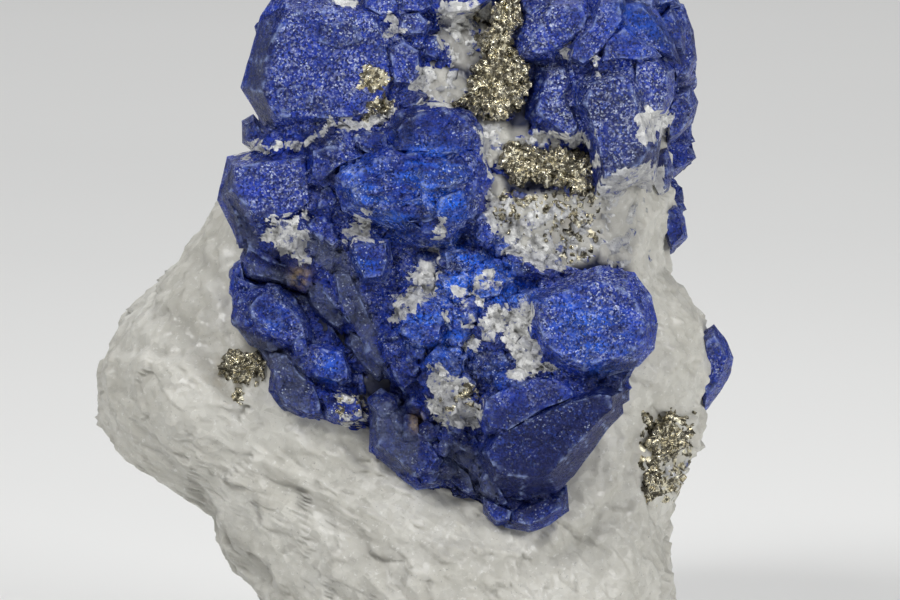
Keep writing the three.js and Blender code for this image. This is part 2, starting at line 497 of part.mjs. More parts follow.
// How far the marble's slow lumps move a point, as a sum of waves.
function lumpsAt(p) {
  return MARBLE_LUMPS.reduce((sum, [size, a, b, c, phase]) => {
    return sum + size * Math.sin(a * p.x + b * p.y + c * p.z + phase);
  }, 0);
}

// Indexed geometry as a solid.
function solid(geometry) {
  const merged = mergeVertices(geometry, SAME_POINT);
  const vertProperties = new Float32Array(merged.attributes.position.array);
  const triVerts = new Uint32Array(merged.index.array);
  return new wasm.Manifold(new wasm.Mesh({ numProp: 3, vertProperties, triVerts }));
}

// The same geometry with every corner moved out so that all its faces move by the contact gap.
function swollen(geometry) {
  const points = Array.from({ length: geometry.attributes.position.count }, (_, i) =>
    new THREE.Vector3().fromBufferAttribute(geometry.attributes.position, i));
  const corners = geometry.index.array;
  const normals = points.map(() => []);
  for (let i = 0; i < corners.length; i += 3) {
    const [a, b, c] = [0, 1, 2].map((k) => points[corners[i + k]]);
    const normal = b.clone().sub(a).cross(c.clone().sub(a)).normalize();
    [0, 1, 2].forEach((k) => normals[corners[i + k]].push(normal));
  }
  const moved = points.map((point, i) => {
    const outwards = normals[i].reduce((sum, n) => sum.add(n), new THREE.Vector3()).normalize();
    const least = Math.min(...normals[i].map((n) => n.dot(outwards)));
    return point.clone().addScaledVector(outwards, CONTACT_GAP / Math.max(least, SHARPEST_CORNER));
  });
  return new THREE.BufferGeometry().setFromPoints(moved).setIndex(geometry.index);
}

// Several solids as one.
const union = (solids) => solids.reduce((all, next) => all.add(next));

// The separate bodies of a shape, largest first, without the slivers that a cut leaves.
function bodies(shape) {
  const parts = shape.decompose().filter((part) => part.volume() > LEAST_BODY);
  return parts.sort((one, other) => other.volume() - one.volume());
}

const LAZURITE = { color: 0x24378f, roughness: 0.45, metalness: 0 };
const PYRITE = { color: 0xb09a5c, roughness: 0.35, metalness: 1 };
const CALCITE = { color: 0xd9d6cf, roughness: 0.5, metalness: 0 };
const MARBLE = { color: 0xd6d3cb, roughness: 0.5, metalness: 0 };

const CRYSTALS = [
  ['central_crystals', CENTRAL.map(tracedCrystal)],
  ['upper_left_crystals', UPPER_LEFT.map(tracedCrystal)],
  ['upper_right_crystals', UPPER_RIGHT.map(tracedCrystal)],
  ['lower_left_crystals', LOWER_LEFT.map(tracedCrystal)],
  ['lower_middle_crystals', LOWER_MIDDLE.map(tracedCrystal)],
  ['left_edge_crystal', LEFT_EDGE.map(tracedCrystal)],
  ['right_edge_crystal', RIGHT_EDGE.map(tracedCrystal)],
  ['right_small_crystal', RIGHT_SMALL.map(tracedCrystal)],
  ['top_crystals', TOP_CROWN.map(turnedCrystal)],
  ['back_upper_crystals', BACK_UPPER.map(turnedCrystal)],
  ['right_side_crystals', RIGHT_SIDE.map(turnedCrystal)],
  ['back_low_crystals', BACK_LOW.map(turnedCrystal)],
  ['back_right_crystal', BACK_RIGHT.map(turnedCrystal)],
];
const GRAINS = [
  ['pyrite_upper', PYRITE, PYRITE_UPPER.map(dome)],
  ['pyrite_middle', PYRITE, PYRITE_MIDDLE.map(dome)],
  ['pyrite_left', PYRITE, PYRITE_LEFT.map(dome)],
  ['pyrite_right', PYRITE, PYRITE_RIGHT.map(dome)],
  ['pyrite_lower', PYRITE, PYRITE_LOWER.map(dome)],
  ['calcite_seam', CALCITE, CALCITE_SEAM.map(dome)],
  ['calcite_left', CALCITE, CALCITE_LEFT.map(dome)],
  ['calcite_centre', CALCITE, CALCITE_CENTRE.map(dome)],
  ['calcite_lower', CALCITE, CALCITE_LOWER.map(dome)],
];

// A solid as a named mesh.
function meshOf(name, finish, shape) {
  const { vertProperties, triVerts } = shape.getMesh();
  const geometry = new THREE.BufferGeometry();
  geometry.setAttribute('position', new THREE.BufferAttribute(vertProperties, 3));
  geometry.setIndex(new THREE.BufferAttribute(triVerts, 1));
  geometry.computeVertexNormals();
  const mesh = new THREE.Mesh(geometry, new THREE.MeshStandardMaterial(finish));
  mesh.name = name;
  return mesh;
}

// The room that pieces take up with the contact gap round them.
const reserved = (geometries) => union([...geometries, ...geometries.map(swollen)].map(solid));

const specimen = new THREE.Group();
specimen.name = 'lazurite_specimen';

// Adds every body of a shape to the specimen, numbered where there are several.
function add(name, finish, shape) {
  const found = bodies(shape);
  found.forEach((body, i) => {
    specimen.add(meshOf(found.length > 1 ? `${name}_${i + 1}` : name, finish, body));
  });
}

// Crystals sit on the marble, and each group makes way for the groups before it.
const marble = [marbleLump(), ...MARBLE_LEDGES.map(tracedCrystal)];
let taken = union(marble.map(swollen).map(solid));
for (const [name, geometries] of CRYSTALS) {
  add(name, LAZURITE, union(geometries.map(solid)).subtract(taken));
  taken = taken.add(reserved(geometries));
}

// Grains fill what the crystals leave free, in hollows of the marble.
let filled = union(CRYSTALS.map(([, geometries]) => reserved(geometries)));
let hollows = [];
for (const [name, finish, geometries] of GRAINS) {
  add(name, finish, union(geometries.map(solid)).subtract(filled));
  filled = filled.add(reserved(geometries));
  hollows = [...hollows, ...geometries];
}
add('marble_matrix', MARBLE, union(marble.map(solid)).subtract(reserved(hollows)));

export default specimen;
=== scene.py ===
"""A lazurite specimen: deep blue crystals and brassy pyrite grown on a lump of white marble."""
import itertools
import math

import bpy
import numpy as np
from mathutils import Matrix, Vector


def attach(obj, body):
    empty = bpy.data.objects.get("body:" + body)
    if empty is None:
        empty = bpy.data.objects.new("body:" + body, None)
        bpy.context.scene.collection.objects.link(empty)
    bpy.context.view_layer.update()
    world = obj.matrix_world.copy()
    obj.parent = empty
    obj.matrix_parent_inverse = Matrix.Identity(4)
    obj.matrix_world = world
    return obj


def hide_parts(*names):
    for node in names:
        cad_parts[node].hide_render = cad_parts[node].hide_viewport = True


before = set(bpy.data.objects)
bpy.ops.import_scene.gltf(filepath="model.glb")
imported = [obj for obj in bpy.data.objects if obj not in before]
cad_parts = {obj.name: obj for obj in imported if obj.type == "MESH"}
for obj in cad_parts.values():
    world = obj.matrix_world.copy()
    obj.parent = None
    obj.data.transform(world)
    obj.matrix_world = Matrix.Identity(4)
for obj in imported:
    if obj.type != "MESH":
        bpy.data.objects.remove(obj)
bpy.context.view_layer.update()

# Driving sizes, in millimetres
SPECIMEN_HEIGHT = 105
DRAWING_HEIGHT = 750
SQUARE = SPECIMEN_HEIGHT / DRAWING_HEIGHT
MILLIMETRE = 0.001

# The show side is drawn as an eye sees it that stands in front and a little above.
# Drawing points are [across, down] in squares, and depth is millimetres towards the eye.
EYE_DISTANCE = 1200
EYE_ANGLE = math.radians(6)
MIDDLE_ACROSS = 450
MIDDLE_DOWN = 300
MIDDLE_HEIGHT = 52
VIEW_WIDTH = 900

# The map of depths has one square for each square of the drawing, from above the photo's top.
MAP_SIZE = 900
MAP_ABOVE = 100
FAR_BACK = -99.0

# The stone that fills the gaps: squares between its points, squares of gap that it closes to each
# side, how far it lies below the crystals, and how far it climbs in a square, in millimetres.
FILL_SPACING = 1.85
CLOSING_REACH = 6
FILL_SINK = 0.8
STEEPEST_FILL = 0.16

# Spacing of the mesh, in millimetres
FINE = 0.30
COARSE = 0.62
# Squares by which crystals grow into their neighbours
RIM_GROWTH = 1.5

# Grains, in millimetres across
LAZURITE_GRAIN = 0.26
# Size of the painted glints
GLINT_GRAIN = 0.19
CALCITE_GRAIN = 0.75
PYRITE_GRAIN = 0.42
MARBLE_GRAIN = 1.25
CALCITE_SPOT = 1.5
PYRITE_SPOT = 0.7
# Squares over which the paint of a single face fades
FACE_BORDER = 1.5

# The marble: one row for each level, as [down, left, right, front depth, back depth]. Its swells
# are [across, down, height, reach in squares] and its lumps [size, three turns per mm, phase].
MARBLE_ROWS = [
    [672, 300, 650, 24, 20],
    [650, 286, 660, 26, 22],
    [600, 264, 669, 27, 25],
    [575, 247, 671, 26.5, 25.5],
    [537, 219, 668, 25, 26],
    [505, 199, 668, 23, 26],
    [484, 168, 677, 21.5, 26],
    [458, 130, 688, 20, 26.5],
    [430, 108, 698, 19.5, 27],
    [400, 104, 700, 20, 27.5],
    [370, 103, 704, 21, 28],
    [340, 113, 701, 22, 28],
    [318, 122, 696, 22.5, 28],
    [298, 144, 684, 23, 28],
    [270, 178, 668, 23.5, 28],
    [235, 202, 668, 24, 28],
    [205, 222, 668, 24, 27.5],
    [150, 268, 668, 23.5, 26],
    [90, 282, 668, 22.5, 23.5],
    [30, 296, 660, 20, 20],
    [-5, 320, 640, 15, 16],
    [-25, 380, 590, 9, 10],
]

MARBLE_SWELLS = [
    [545, 225, 2.6, 95],
    [450, 55, 3.4, 80],
    [490, 160, 2, 70],
    [185, 410, 3.2, 75],
    [230, 320, -2.4, 60],
    [640, 330, 2.2, 60],
    [640, 520, 2.5, 80],
    [340, 480, 3, 85],
    [440, 600, 2.6, 90],
    [215, 255, -2, 45],
]

# How square the sections of the marble are: 2 is an ellipse.
MARBLE_SQUARENESS = 2.5

MARBLE_LUMPS = [
    [0.45, 0.21, 0.09, 0.16, 0.4],
    [0.35, -0.27, 0.19, 0.31, 1.9],
    [0.3, 0.46, 0.33, -0.38, 4.1],
    [0.25, 0.12, -0.61, 0.57, 2.7],
]

# Swells of the marble that the solids have as ledges.
MARBLE_LEDGE_SWELLS = [
    [150, 400, 2.0, 48],
    [185, 420, 1.2, 36],
    [242, 560, 1.2, 20],
    [697, 330, 0.8, 12],
]

# Crystals of the show side have the outline of the flat face, that of the rim or the squares it
# stands out by, the depth of the face's middle, its rise to the right and upwards, how far the rim
# lies behind the face (bevel), how far the sides then run straight back (stub) and how far the tip
# lies behind the face (root).
CENTRAL_GROUND = [
    dict(face=[[240, 172], [310, 156], [394, 122], [468, 124], [482, 186], [500, 246], [598, 276],
         [644, 306], [642, 350], [610, 408], [556, 478], [512, 500], [456, 462], [390, 372], [316, 284],
         [250, 250], [228, 200]], rim=2, depth=26.4, tilt=[0.04, 0], bevel=3, root=7),
]

LEFT_BLOCKS = [
    dict(face=[[236, 168], [262, 163], [304, 159], [308, 182], [309, 203], [290, 213], [262, 219],
         [248, 206], [232, 190]], rim=[[228, 158], [262, 150], [312, 146], [318, 182], [318, 212],
         [296, 236], [256, 252], [240, 244], [219, 200]], depth=28, tilt=[0.05, -0.14], bevel=7.5, root=22),
    dict(face=[[254, 232], [264, 250], [288, 263], [296, 276], [284, 282], [252, 274], [246, 258]],
         rim=5, depth=24.5, tilt=[0.1, 0.3], bevel=3, root=7),
    dict(face=[[308, 286], [318, 284], [331, 303], [345, 322], [338, 328], [323, 317], [312, 302]],
         rim=5, depth=25, tilt=[0.2, 0.35], bevel=3, root=7),
    dict(face=[[335, 274], [350, 274], [361, 303], [376, 331], [366, 340], [352, 328], [340, 300]],
         rim=6, depth=26.5, tilt=[0.15, 0.3], bevel=3, root=7),
    dict(face=[[352, 334], [370, 342], [381, 368], [377, 377], [363, 364], [350, 346]], rim=6, depth=25,
         tilt=[0.2, 0.4], bevel=3, root=7),
]

MAIN_CRYSTAL = [
    dict(face=[[313, 151], [330, 148], [345, 149], [360, 157], [346, 162], [333, 170], [323, 180],
         [313, 177]], rim=[[306, 146], [326, 132], [345, 122], [374, 152], [352, 168], [338, 178],
         [326, 190], [308, 186]], depth=29.5, tilt=[0, -0.3], bevel=3.5, root=19),
    dict(face=[[356, 139], [368, 134], [386, 137], [388, 150], [374, 156], [362, 150]], rim=5,
         depth=28.6, tilt=[0.2, -0.3], bevel=3, root=7),
    dict(face=[[321, 190], [330, 188], [336, 200], [331, 206], [320, 206]], rim=4, depth=28,
         tilt=[0, -0.1], bevel=2, root=7),
    dict(face=[[310, 225], [320, 218], [331, 226], [338, 240], [333, 246], [320, 236]], rim=5, depth=28,
         tilt=[-0.1, -0.3], bevel=3, root=7),
    dict(face=[[306, 236], [322, 242], [342, 254], [348, 268], [356, 288], [342, 282], [320, 264],
         [305, 250]], rim=6, depth=25.8, tilt=[0.25, 0.45], bevel=3, root=7),
    dict(face=[[354, 243], [386, 243], [387, 262], [382, 277], [364, 279], [358, 262]], rim=5,
         depth=30.5, tilt=[0.1, -0.1], bevel=3.5, root=7),
    dict(face=[[397, 131], [405, 120], [422, 114], [442, 111], [463, 118], [472, 131], [473, 149],
         [440, 153], [399, 151]], rim=[[388, 128], [398, 114], [420, 106], [444, 104], [470, 112],
         [481, 128], [484, 152], [440, 160], [390, 156]], depth=31, tilt=[0, -0.35], bevel=3.5, root=22),
    dict(face=[[348, 182], [363, 167], [392, 155], [440, 153], [469, 151], [479, 167], [475, 190],
         [465, 213], [447, 234], [425, 234], [393, 212], [358, 205]], rim=[[336, 184], [356, 158],
         [392, 144], [440, 144], [480, 146], [493, 178], [482, 196], [476, 218], [452, 246], [418, 246],
         [386, 224], [344, 210]], depth=32.6, tilt=[0, 0.08], bevel=4.5, root=24),
    dict(face=[[340, 177], [353, 168], [376, 161], [388, 161], [378, 175], [352, 188], [343, 188]],
         rim=4, depth=32.5, tilt=[0.15, -0.3], bevel=2, root=7),
    dict(face=[[422, 161], [460, 159], [466, 175], [449, 188], [426, 188], [416, 176]], rim=5,
         depth=34.4, tilt=[0.08, -0.2], bevel=2, root=7),
    dict(face=[[354, 197], [383, 191], [397, 205], [390, 216], [364, 211]], rim=4, depth=31.8,
         tilt=[0, 0.25], bevel=2.5, root=7),
    dict(face=[[394, 205], [419, 198], [437, 207], [432, 220], [409, 224]], rim=5, depth=33,
         tilt=[-0.05, 0.2], bevel=2, root=7),
    dict(face=[[442, 197], [461, 192], [468, 206], [461, 224], [447, 229], [438, 214]], rim=4,
         depth=33.4, tilt=[-0.1, 0.2], bevel=2, root=7),
]

BROKEN_CRYSTALS = [
    dict(face=[[477, 219], [484, 214], [491, 218], [497, 228], [495, 239], [486, 245], [477, 238]],
         rim=4, depth=30, tilt=[-0.1, -0.2], bevel=2.5, root=7),
    dict(face=[[503, 250], [516, 248], [530, 255], [545, 260], [555, 259], [556, 269], [550, 277],
         [535, 273], [520, 267], [507, 260]], rim=5, depth=29.4, tilt=[-0.05, -0.1], bevel=3, root=7),
    dict(face=[[444, 251], [467, 249], [478, 260], [469, 271], [447, 269]], rim=5, depth=29.6,
         tilt=[0, 0.2], bevel=2.5, root=7),
    dict(face=[[442, 277], [461, 275], [470, 286], [461, 299], [445, 295]], rim=5, depth=30.4,
         tilt=[0.1, -0.25], bevel=2.5, root=7),
    dict(face=[[476, 271], [497, 267], [506, 280], [499, 295], [481, 297], [472, 286]], rim=5,
         depth=30.4, tilt=[-0.1, -0.2], bevel=2.5, root=7),
    dict(face=[[405, 309], [427, 302], [442, 318], [438, 339], [420, 345], [404, 333]], rim=6, depth=31,
         tilt=[0.1, -0.15], bevel=3, root=7),
    dict(face=[[450, 305], [467, 303], [476, 316], [469, 331], [453, 329], [446, 318]], rim=5,
         depth=30.2, tilt=[0, -0.1], bevel=2.5, root=7),
    dict(face=[[479, 351], [492, 346], [502, 356], [509, 366], [504, 375], [490, 380], [476, 373],
         [476, 361]], rim=5, depth=31, tilt=[0, -0.12], bevel=3, root=7),
    dict(face=[[384, 338], [399, 336], [411, 351], [418, 366], [413, 382], [404, 390], [393, 371],
         [384, 356]], rim=6, depth=28.6, tilt=[0.1, 0.2], bevel=3, root=7),
    dict(face=[[442, 432], [474, 434], [480, 450], [476, 456], [457, 445]], rim=5, depth=28.4,
         tilt=[0, 0.3], bevel=3, root=7),
]

RIGHT_CRYSTAL = [
    dict(face=[[539, 303], [560, 292], [598, 281], [621, 289], [637, 303], [645, 322], [642, 342],
         [631, 353], [604, 360], [584, 365], [562, 357], [546, 343], [539, 324]], rim=[[528, 296],
         [556, 282], [600, 267], [634, 273], [650, 296], [656, 325], [653, 348], [638, 366], [606, 376],
         [582, 384], [556, 372], [538, 354], [526, 326]], depth=34, tilt=[-0.12, -0.12], bevel=4.5, root=25),
    dict(face=[[588, 380], [608, 374], [622, 378], [622, 396], [610, 404], [597, 399]], rim=7, depth=28,
         tilt=[-0.3, 0.4], bevel=3.5, root=16),
]

LOWER_CRYSTAL = [
    dict(face=[[486, 399], [509, 388], [534, 379], [555, 378], [570, 388], [574, 397], [540, 411],
         [508, 430], [491, 428], [484, 414]], rim=7, depth=33.4, tilt=[-0.05, -0.28], bevel=3.5, root=22),
    dict(face=[[500, 436], [530, 420], [570, 403], [599, 395], [612, 397], [611, 410], [599, 420],
         [583, 439], [565, 457], [549, 474], [524, 477], [497, 475], [487, 453]], rim=[[488, 430],
         [530, 410], [568, 392], [604, 386], [622, 392], [622, 414], [606, 430], [590, 452], [574, 474],
         [556, 492], [522, 500], [490, 488], [478, 452]], depth=34, tilt=[0, 0.2], bevel=6.5, root=25),
    dict(face=[[515, 513], [545, 501], [559, 499], [561, 508], [546, 517], [530, 525], [517, 523]],
         rim=[[498, 506], [545, 484], [566, 486], [568, 512], [550, 524], [530, 532], [506, 528]],
         depth=27.5, tilt=[0, -0.2], bevel=3, root=15),
    dict(face=[[488, 502], [500, 507], [511, 512], [509, 521], [497, 521], [489, 513]], rim=5, depth=27,
         tilt=[0.1, 0.1], bevel=3, root=7),
    dict(face=[[486, 474], [497, 487], [507, 504], [497, 504], [488, 491], [483, 480]], rim=5, depth=28,
         tilt=[0.3, 0.5], bevel=3, root=7),
]

UPPER_LEFT = [
    dict(face=[[288, 14], [330, 13], [372, 18], [384, 44], [391, 80], [374, 112], [330, 119],
         [276, 116], [264, 92], [266, 62], [276, 34]], rim=[[284, -16], [330, -18], [378, -8], [402, 38],
         [404, 88], [378, 122], [330, 132], [276, 142], [243, 88], [250, 60], [262, 18]], depth=26,
         tilt=[-0.02, -0.12], bevel=5.5, stub=7, root=20),
    dict(face=[[276, 90], [300, 86], [314, 92], [312, 108], [282, 112]], rim=2, depth=27,
         tilt=[0, -0.12], bevel=1, root=11),
    dict(face=[[322, 24], [352, 22], [362, 40], [340, 48], [320, 42]], rim=2, depth=25.9,
         tilt=[0, -0.16], bevel=1, root=11),
    dict(face=[[390, 50], [404, 43], [418, 52], [420, 70], [412, 84], [396, 82]], rim=4, depth=26,
         tilt=[-0.1, -0.2], bevel=2.5, root=11),
    dict(face=[[404, 18], [418, 14], [427, 24], [422, 34], [410, 34], [402, 28]], rim=4, depth=25.4,
         tilt=[0, -0.2], bevel=2.5, root=11),
    dict(face=[[426, 42], [436, 40], [441, 50], [436, 58], [427, 54]], rim=4, depth=25.6,
         tilt=[0, -0.2], bevel=2.5, root=11),
    dict(face=[[364, -10], [392, -6], [398, 10], [382, 16], [368, 8]], rim=6, depth=24.6,
         tilt=[0, -0.3], bevel=3, root=11),
    dict(face=[[402, -12], [430, -10], [434, 6], [420, 12], [404, 10]], rim=5, depth=25,
         tilt=[0.1, -0.3], bevel=3, root=11),
    dict(face=[[400, 96], [410, 93], [424, 97], [418, 105], [404, 108]], rim=5, depth=27,
         tilt=[-0.1, -0.1], bevel=2.5, root=11),
    dict(face=[[438, -14], [474, -16], [484, 2], [470, 12], [448, 14], [436, 4]], rim=5, depth=25,
         tilt=[-0.1, -0.3], bevel=3, stub=7, root=18),
    dict(face=[[296, -46], [344, -50], [362, -26], [330, -18], [294, -22]], rim=8, depth=20,
         tilt=[0, -0.6], bevel=3.5, stub=7, root=18),
    dict(face=[[376, -52], [424, -54], [434, -24], [402, -16], [374, -24]], rim=8, depth=21,
         tilt=[0, -0.6], bevel=3.5, stub=7, root=18),
]

UPPER_RIGHT = [
    # the blue ground between the upper right crystals
    dict(face=[[520, 2], [600, -14], [650, 4], [662, 60], [660, 120], [652, 180], [612, 184],
         [580, 136], [522, 124], [530, 60]], rim=3, depth=23, tilt=[-0.2, -0.12], bevel=3, root=14),
    dict(face=[[552, 9], [580, 8], [586, 18], [580, 30], [560, 46], [540, 55], [527, 52], [536, 36],
         [544, 20]], rim=[[540, -2], [584, -4], [598, 14], [590, 34], [566, 54], [540, 64], [512, 58],
         [508, 36], [524, 14]], depth=27.5, tilt=[-0.12, -0.3], bevel=3.5, root=11),
    dict(face=[[574, 44], [592, 28], [600, 4], [618, 4], [622, 20], [612, 34], [598, 52], [584, 64],
         [572, 58]], rim=6, depth=28, tilt=[-0.2, -0.2], bevel=3, root=11),
    dict(face=[[592, 84], [612, 78], [628, 78], [634, 96], [641, 120], [647, 150], [640, 166],
         [622, 176], [605, 176], [600, 150], [594, 126], [586, 104]], rim=[[570, 84], [606, 60], [634, 64],
         [646, 92], [652, 120], [656, 150], [652, 170], [626, 188], [596, 196], [590, 150], [580, 128],
         [568, 106]], depth=30, tilt=[-0.15, -0.04], bevel=4.5, stub=7, root=22),
    dict(face=[[547, 72], [564, 70], [569, 82], [562, 96], [571, 112], [577, 128], [568, 136],
         [554, 126], [537, 112], [541, 98], [545, 84]], rim=[[530, 60], [566, 58], [578, 80], [572, 96],
         [580, 112], [584, 132], [570, 146], [546, 138], [512, 128], [520, 100], [530, 76]], depth=28,
         tilt=[-0.1, -0.22], bevel=4.5, root=11),
    dict(face=[[636, 62], [655, 62], [667, 74], [666, 94], [662, 108], [648, 114], [642, 98],
         [635, 80]], rim=7, depth=26, tilt=[-0.5, -0.1], bevel=4, stub=7, root=18),
    dict(face=[[618, 6], [640, 6], [652, 20], [666, 42], [674, 58], [660, 52], [640, 40], [626, 28]],
         rim=8, depth=24, tilt=[-0.5, -0.4], bevel=4, stub=7, root=18),
    dict(face=[[606, 42], [624, 30], [642, 46], [654, 56], [638, 60], [618, 58], [602, 62]], rim=6,
         depth=27.4, tilt=[-0.25, -0.2], bevel=2.5, root=11),
    dict(face=[[658, 24], [670, 12], [679, 32], [681, 50], [670, 46]], rim=5, depth=16,
         tilt=[-0.6, -0.1], bevel=3, stub=7, root=18),
    dict(face=[[668, 8], [682, 12], [688, 36], [692, 56], [687, 74], [676, 78], [668, 46]], rim=5,
         depth=9, tilt=[-0.7, 0.1], bevel=4, stub=7, root=18),
    dict(face=[[676, 96], [688, 92], [692, 106], [687, 120], [678, 132], [670, 138], [668, 116]], rim=5,
         depth=8, tilt=[-0.6, 0.1], bevel=4, stub=7, root=18),
    dict(face=[[654, 158], [665, 153], [668, 172], [666, 186], [658, 194], [652, 180]], rim=4, depth=13,
         tilt=[-0.5, 0], bevel=3, stub=7, root=18),
    dict(face=[[524, -8], [544, -10], [548, 4], [532, 16], [522, 10]], rim=6, depth=25.5,
         tilt=[0.2, -0.1], bevel=3, root=11),
    dict(face=[[566, -46], [608, -50], [634, -30], [620, -10], [574, -10]], rim=9, depth=21,
         tilt=[0, -0.6], bevel=3.5, stub=7, root=18),
    dict(face=[[634, -30], [656, -22], [672, 2], [652, 6], [634, -6]], rim=8, depth=15,
         tilt=[-0.5, -0.5], bevel=3.5, stub=7, root=18),
    dict(face=[[476, -50], [534, -54], [554, -30], [536, -18], [492, -16]], rim=8, depth=20.5,
         tilt=[0, -0.6], bevel=3.5, stub=7, root=18),
]

LOWER_LEFT = [
    # the blue ground of the open crack and of the crystals below it
    dict(face=[[236, 276], [262, 288], [304, 296], [334, 330], [362, 374], [366, 404], [358, 418],
         [326, 418], [292, 402], [274, 372], [252, 338], [238, 318]], rim=2, depth=22.6, tilt=[0.02, 0],
         bevel=2, root=12),
    dict(face=[[250, 305], [259, 294], [273, 293], [289, 307], [300, 321], [304, 335], [294, 340],
         [280, 334], [265, 325], [252, 315]], rim=[[233, 300], [250, 286], [278, 284], [297, 298],
         [310, 317], [314, 344], [296, 352], [276, 352], [250, 344], [234, 322]], depth=27.5,
         tilt=[0.02, -0.22], bevel=5.5, stub=4, root=20),
    dict(face=[[235, 268], [241, 264], [245, 282], [243, 298], [237, 302], [233, 290]], rim=3, depth=22,
         tilt=[0.4, 0], bevel=3, root=14),
    dict(face=[[296, 348], [314, 347], [340, 353], [347, 368], [347, 379], [338, 382], [317, 375],
         [303, 366]], rim=4, depth=27.6, tilt=[0, -0.2], bevel=4, root=16),
    dict(face=[[272, 358], [286, 356], [300, 375], [313, 386], [319, 399], [320, 414], [306, 414],
         [286, 404], [275, 391]], rim=5, depth=26, tilt=[0.1, 0.25], bevel=4.5, root=15),
    dict(face=[[319, 392], [347, 395], [360, 401], [362, 418], [345, 422], [329, 416]], rim=4,
         depth=25.6, tilt=[0, 0.15], bevel=4, root=14),
]

LOWER_MIDDLE = [
    dict(face=[[377, 407], [387, 411], [401, 427], [423, 437], [431, 444], [438, 458], [431, 469],
         [414, 471], [403, 463], [379, 445]], rim=[[370, 398], [389, 403], [405, 419], [429, 431],
         [439, 442], [449, 466], [441, 486], [416, 490], [396, 472], [370, 452]], depth=27.5,
         tilt=[0.05, -0.1], bevel=4.5, root=16),
    dict(face=[[411, 463], [431, 463], [440, 474], [435, 483], [420, 485], [409, 478]], rim=4,
         depth=26.2, tilt=[0, 0.2], bevel=3, root=12),
    dict(face=[[450, 460], [470, 475], [475, 493], [464, 492], [451, 481]], rim=4, depth=24.6,
         tilt=[0.2, 0.3], bevel=3, root=12),
]

LEFT_EDGE = [
    dict(face=[[246, 125], [254, 121], [262, 132], [266, 143], [256, 148], [248, 140]], rim=5, depth=9,
         tilt=[0.2, -0.2], bevel=3, stub=4, root=9),
]

RIGHT_EDGE = [
    dict(face=[[706, 342], [714, 336], [721, 348], [726, 358], [723, 372], [716, 386], [707, 398],
         [704, 370]], rim=[[700, 334], [714, 325], [726, 342], [732, 358], [729, 372], [720, 392],
         [704, 412], [697, 370]], depth=3, tilt=[-0.3, 0.1], bevel=3.5, stub=7, root=12),
]

RIGHT_SMALL = [
    dict(face=[[668, 210], [675, 209], [680, 222], [683, 234], [678, 241], [672, 246], [667, 232]],
         rim=4, depth=6, tilt=[-0.3, 0.1], bevel=3, stub=5, root=14),
]

# Crystals that face any way: the middle of the widest section, the turn from the front and the
# lean upwards in degrees, the reach, the corners of the face and how far back the tip lies.
TOP_CROWN = [
    dict(at=[-14, -5, 96], turn=300, lean=62, size=11, corners=6, root=9),
    dict(at=[-1, -4, 98.5], turn=10, lean=76, size=10.5, corners=5, root=9),
    dict(at=[13, -3, 98], turn=40, lean=68, size=10.5, corners=6, root=9),
    dict(at=[-9, 11, 94.5], turn=205, lean=52, size=12, corners=6, root=9),
    dict(at=[8, 12, 94.5], turn=168, lean=50, size=12, corners=5, root=9),
    dict(at=[22, 3, 94], turn=95, lean=45, size=9.5, corners=6, root=9),
    dict(at=[-21, 4, 91], turn=255, lean=38, size=9.5, corners=6, root=9),
]

BACK_UPPER = [
    dict(at=[-10, 20, 86], turn=194, lean=20, size=14, corners=6, root=11),
    dict(at=[8, 21, 84], turn=171, lean=14, size=14, corners=5, root=11),
    dict(at=[-2, 25, 69], turn=182, lean=-4, size=13.5, corners=6, root=11),
    dict(at=[-18, 19.5, 72], turn=213, lean=4, size=12, corners=5, root=11),
    dict(at=[15, 22.5, 69], turn=156, lean=0, size=12.5, corners=6, root=11),
    dict(at=[22, 16, 82], turn=130, lean=12, size=12, corners=6, root=11),
]

RIGHT_SIDE = [
    dict(at=[29, 5, 86], turn=96, lean=12, size=11, corners=6, root=10),
    dict(at=[28.5, 9, 73.5], turn=104, lean=2, size=11, corners=5, root=10),
    dict(at=[28.5, 3, 64], turn=92, lean=-6, size=9, corners=6, root=10),
]

BACK_LOW = [
    dict(at=[-21, 26, 44], turn=198, lean=4, size=9, corners=6, root=10),
    dict(at=[-12, 27.5, 39], turn=186, lean=-8, size=7.5, corners=5, root=10),
]

BACK_RIGHT = [
    dict(at=[25, 21.5, 36], turn=146, lean=2, size=8, corners=6, root=11),
]

# Masses of grains: the outline of a low dome, the depth of its border, its slopes, how far its
# middle stands out and how thick its edge is.
PYRITE_UPPER = [
    dict(outline=[[492, 10], [504, 0], [517, -4], [521, 10], [520, 22], [511, 30], [508, 44], [512, 56],
         [490, 60], [482, 50], [481, 38], [490, 28]], depth=26.2, tilt=[0, -0.1], dome=0.8, thick=6),
    dict(outline=[[478, 64], [492, 52], [512, 52], [526, 68], [528, 82], [523, 98], [517, 112],
         [507, 122], [488, 122], [474, 114], [450, 104], [468, 94], [465, 78]], depth=26.8,
         tilt=[-0.05, -0.05], dome=1, thick=6),
]

PYRITE_MIDDLE = [
    dict(outline=[[500, 148], [514, 141], [530, 150], [558, 148], [582, 154], [593, 162], [594, 180],
         [589, 196], [574, 190], [556, 184], [538, 180], [520, 188], [508, 184], [501, 168]], depth=26.6,
         tilt=[-0.05, 0], dome=0.9, thick=6),
]

PYRITE_LEFT = [
    dict(outline=[[221, 358], [240, 350], [256, 352], [266, 362], [266, 372], [256, 384], [246, 392],
         [236, 391], [228, 380], [219, 370]], depth=20.2, tilt=[0.2, 0.1], dome=0.8, thick=6),
]

PYRITE_RIGHT = [
    dict(outline=[[656, 420], [670, 413], [690, 420], [692, 434], [684, 444], [672, 452], [663, 463],
         [661, 480], [656, 500], [647, 502], [643, 490], [648, 470], [651, 456], [650, 440]], depth=13,
         tilt=[-0.75, 0], dome=0.8, thick=7),
]

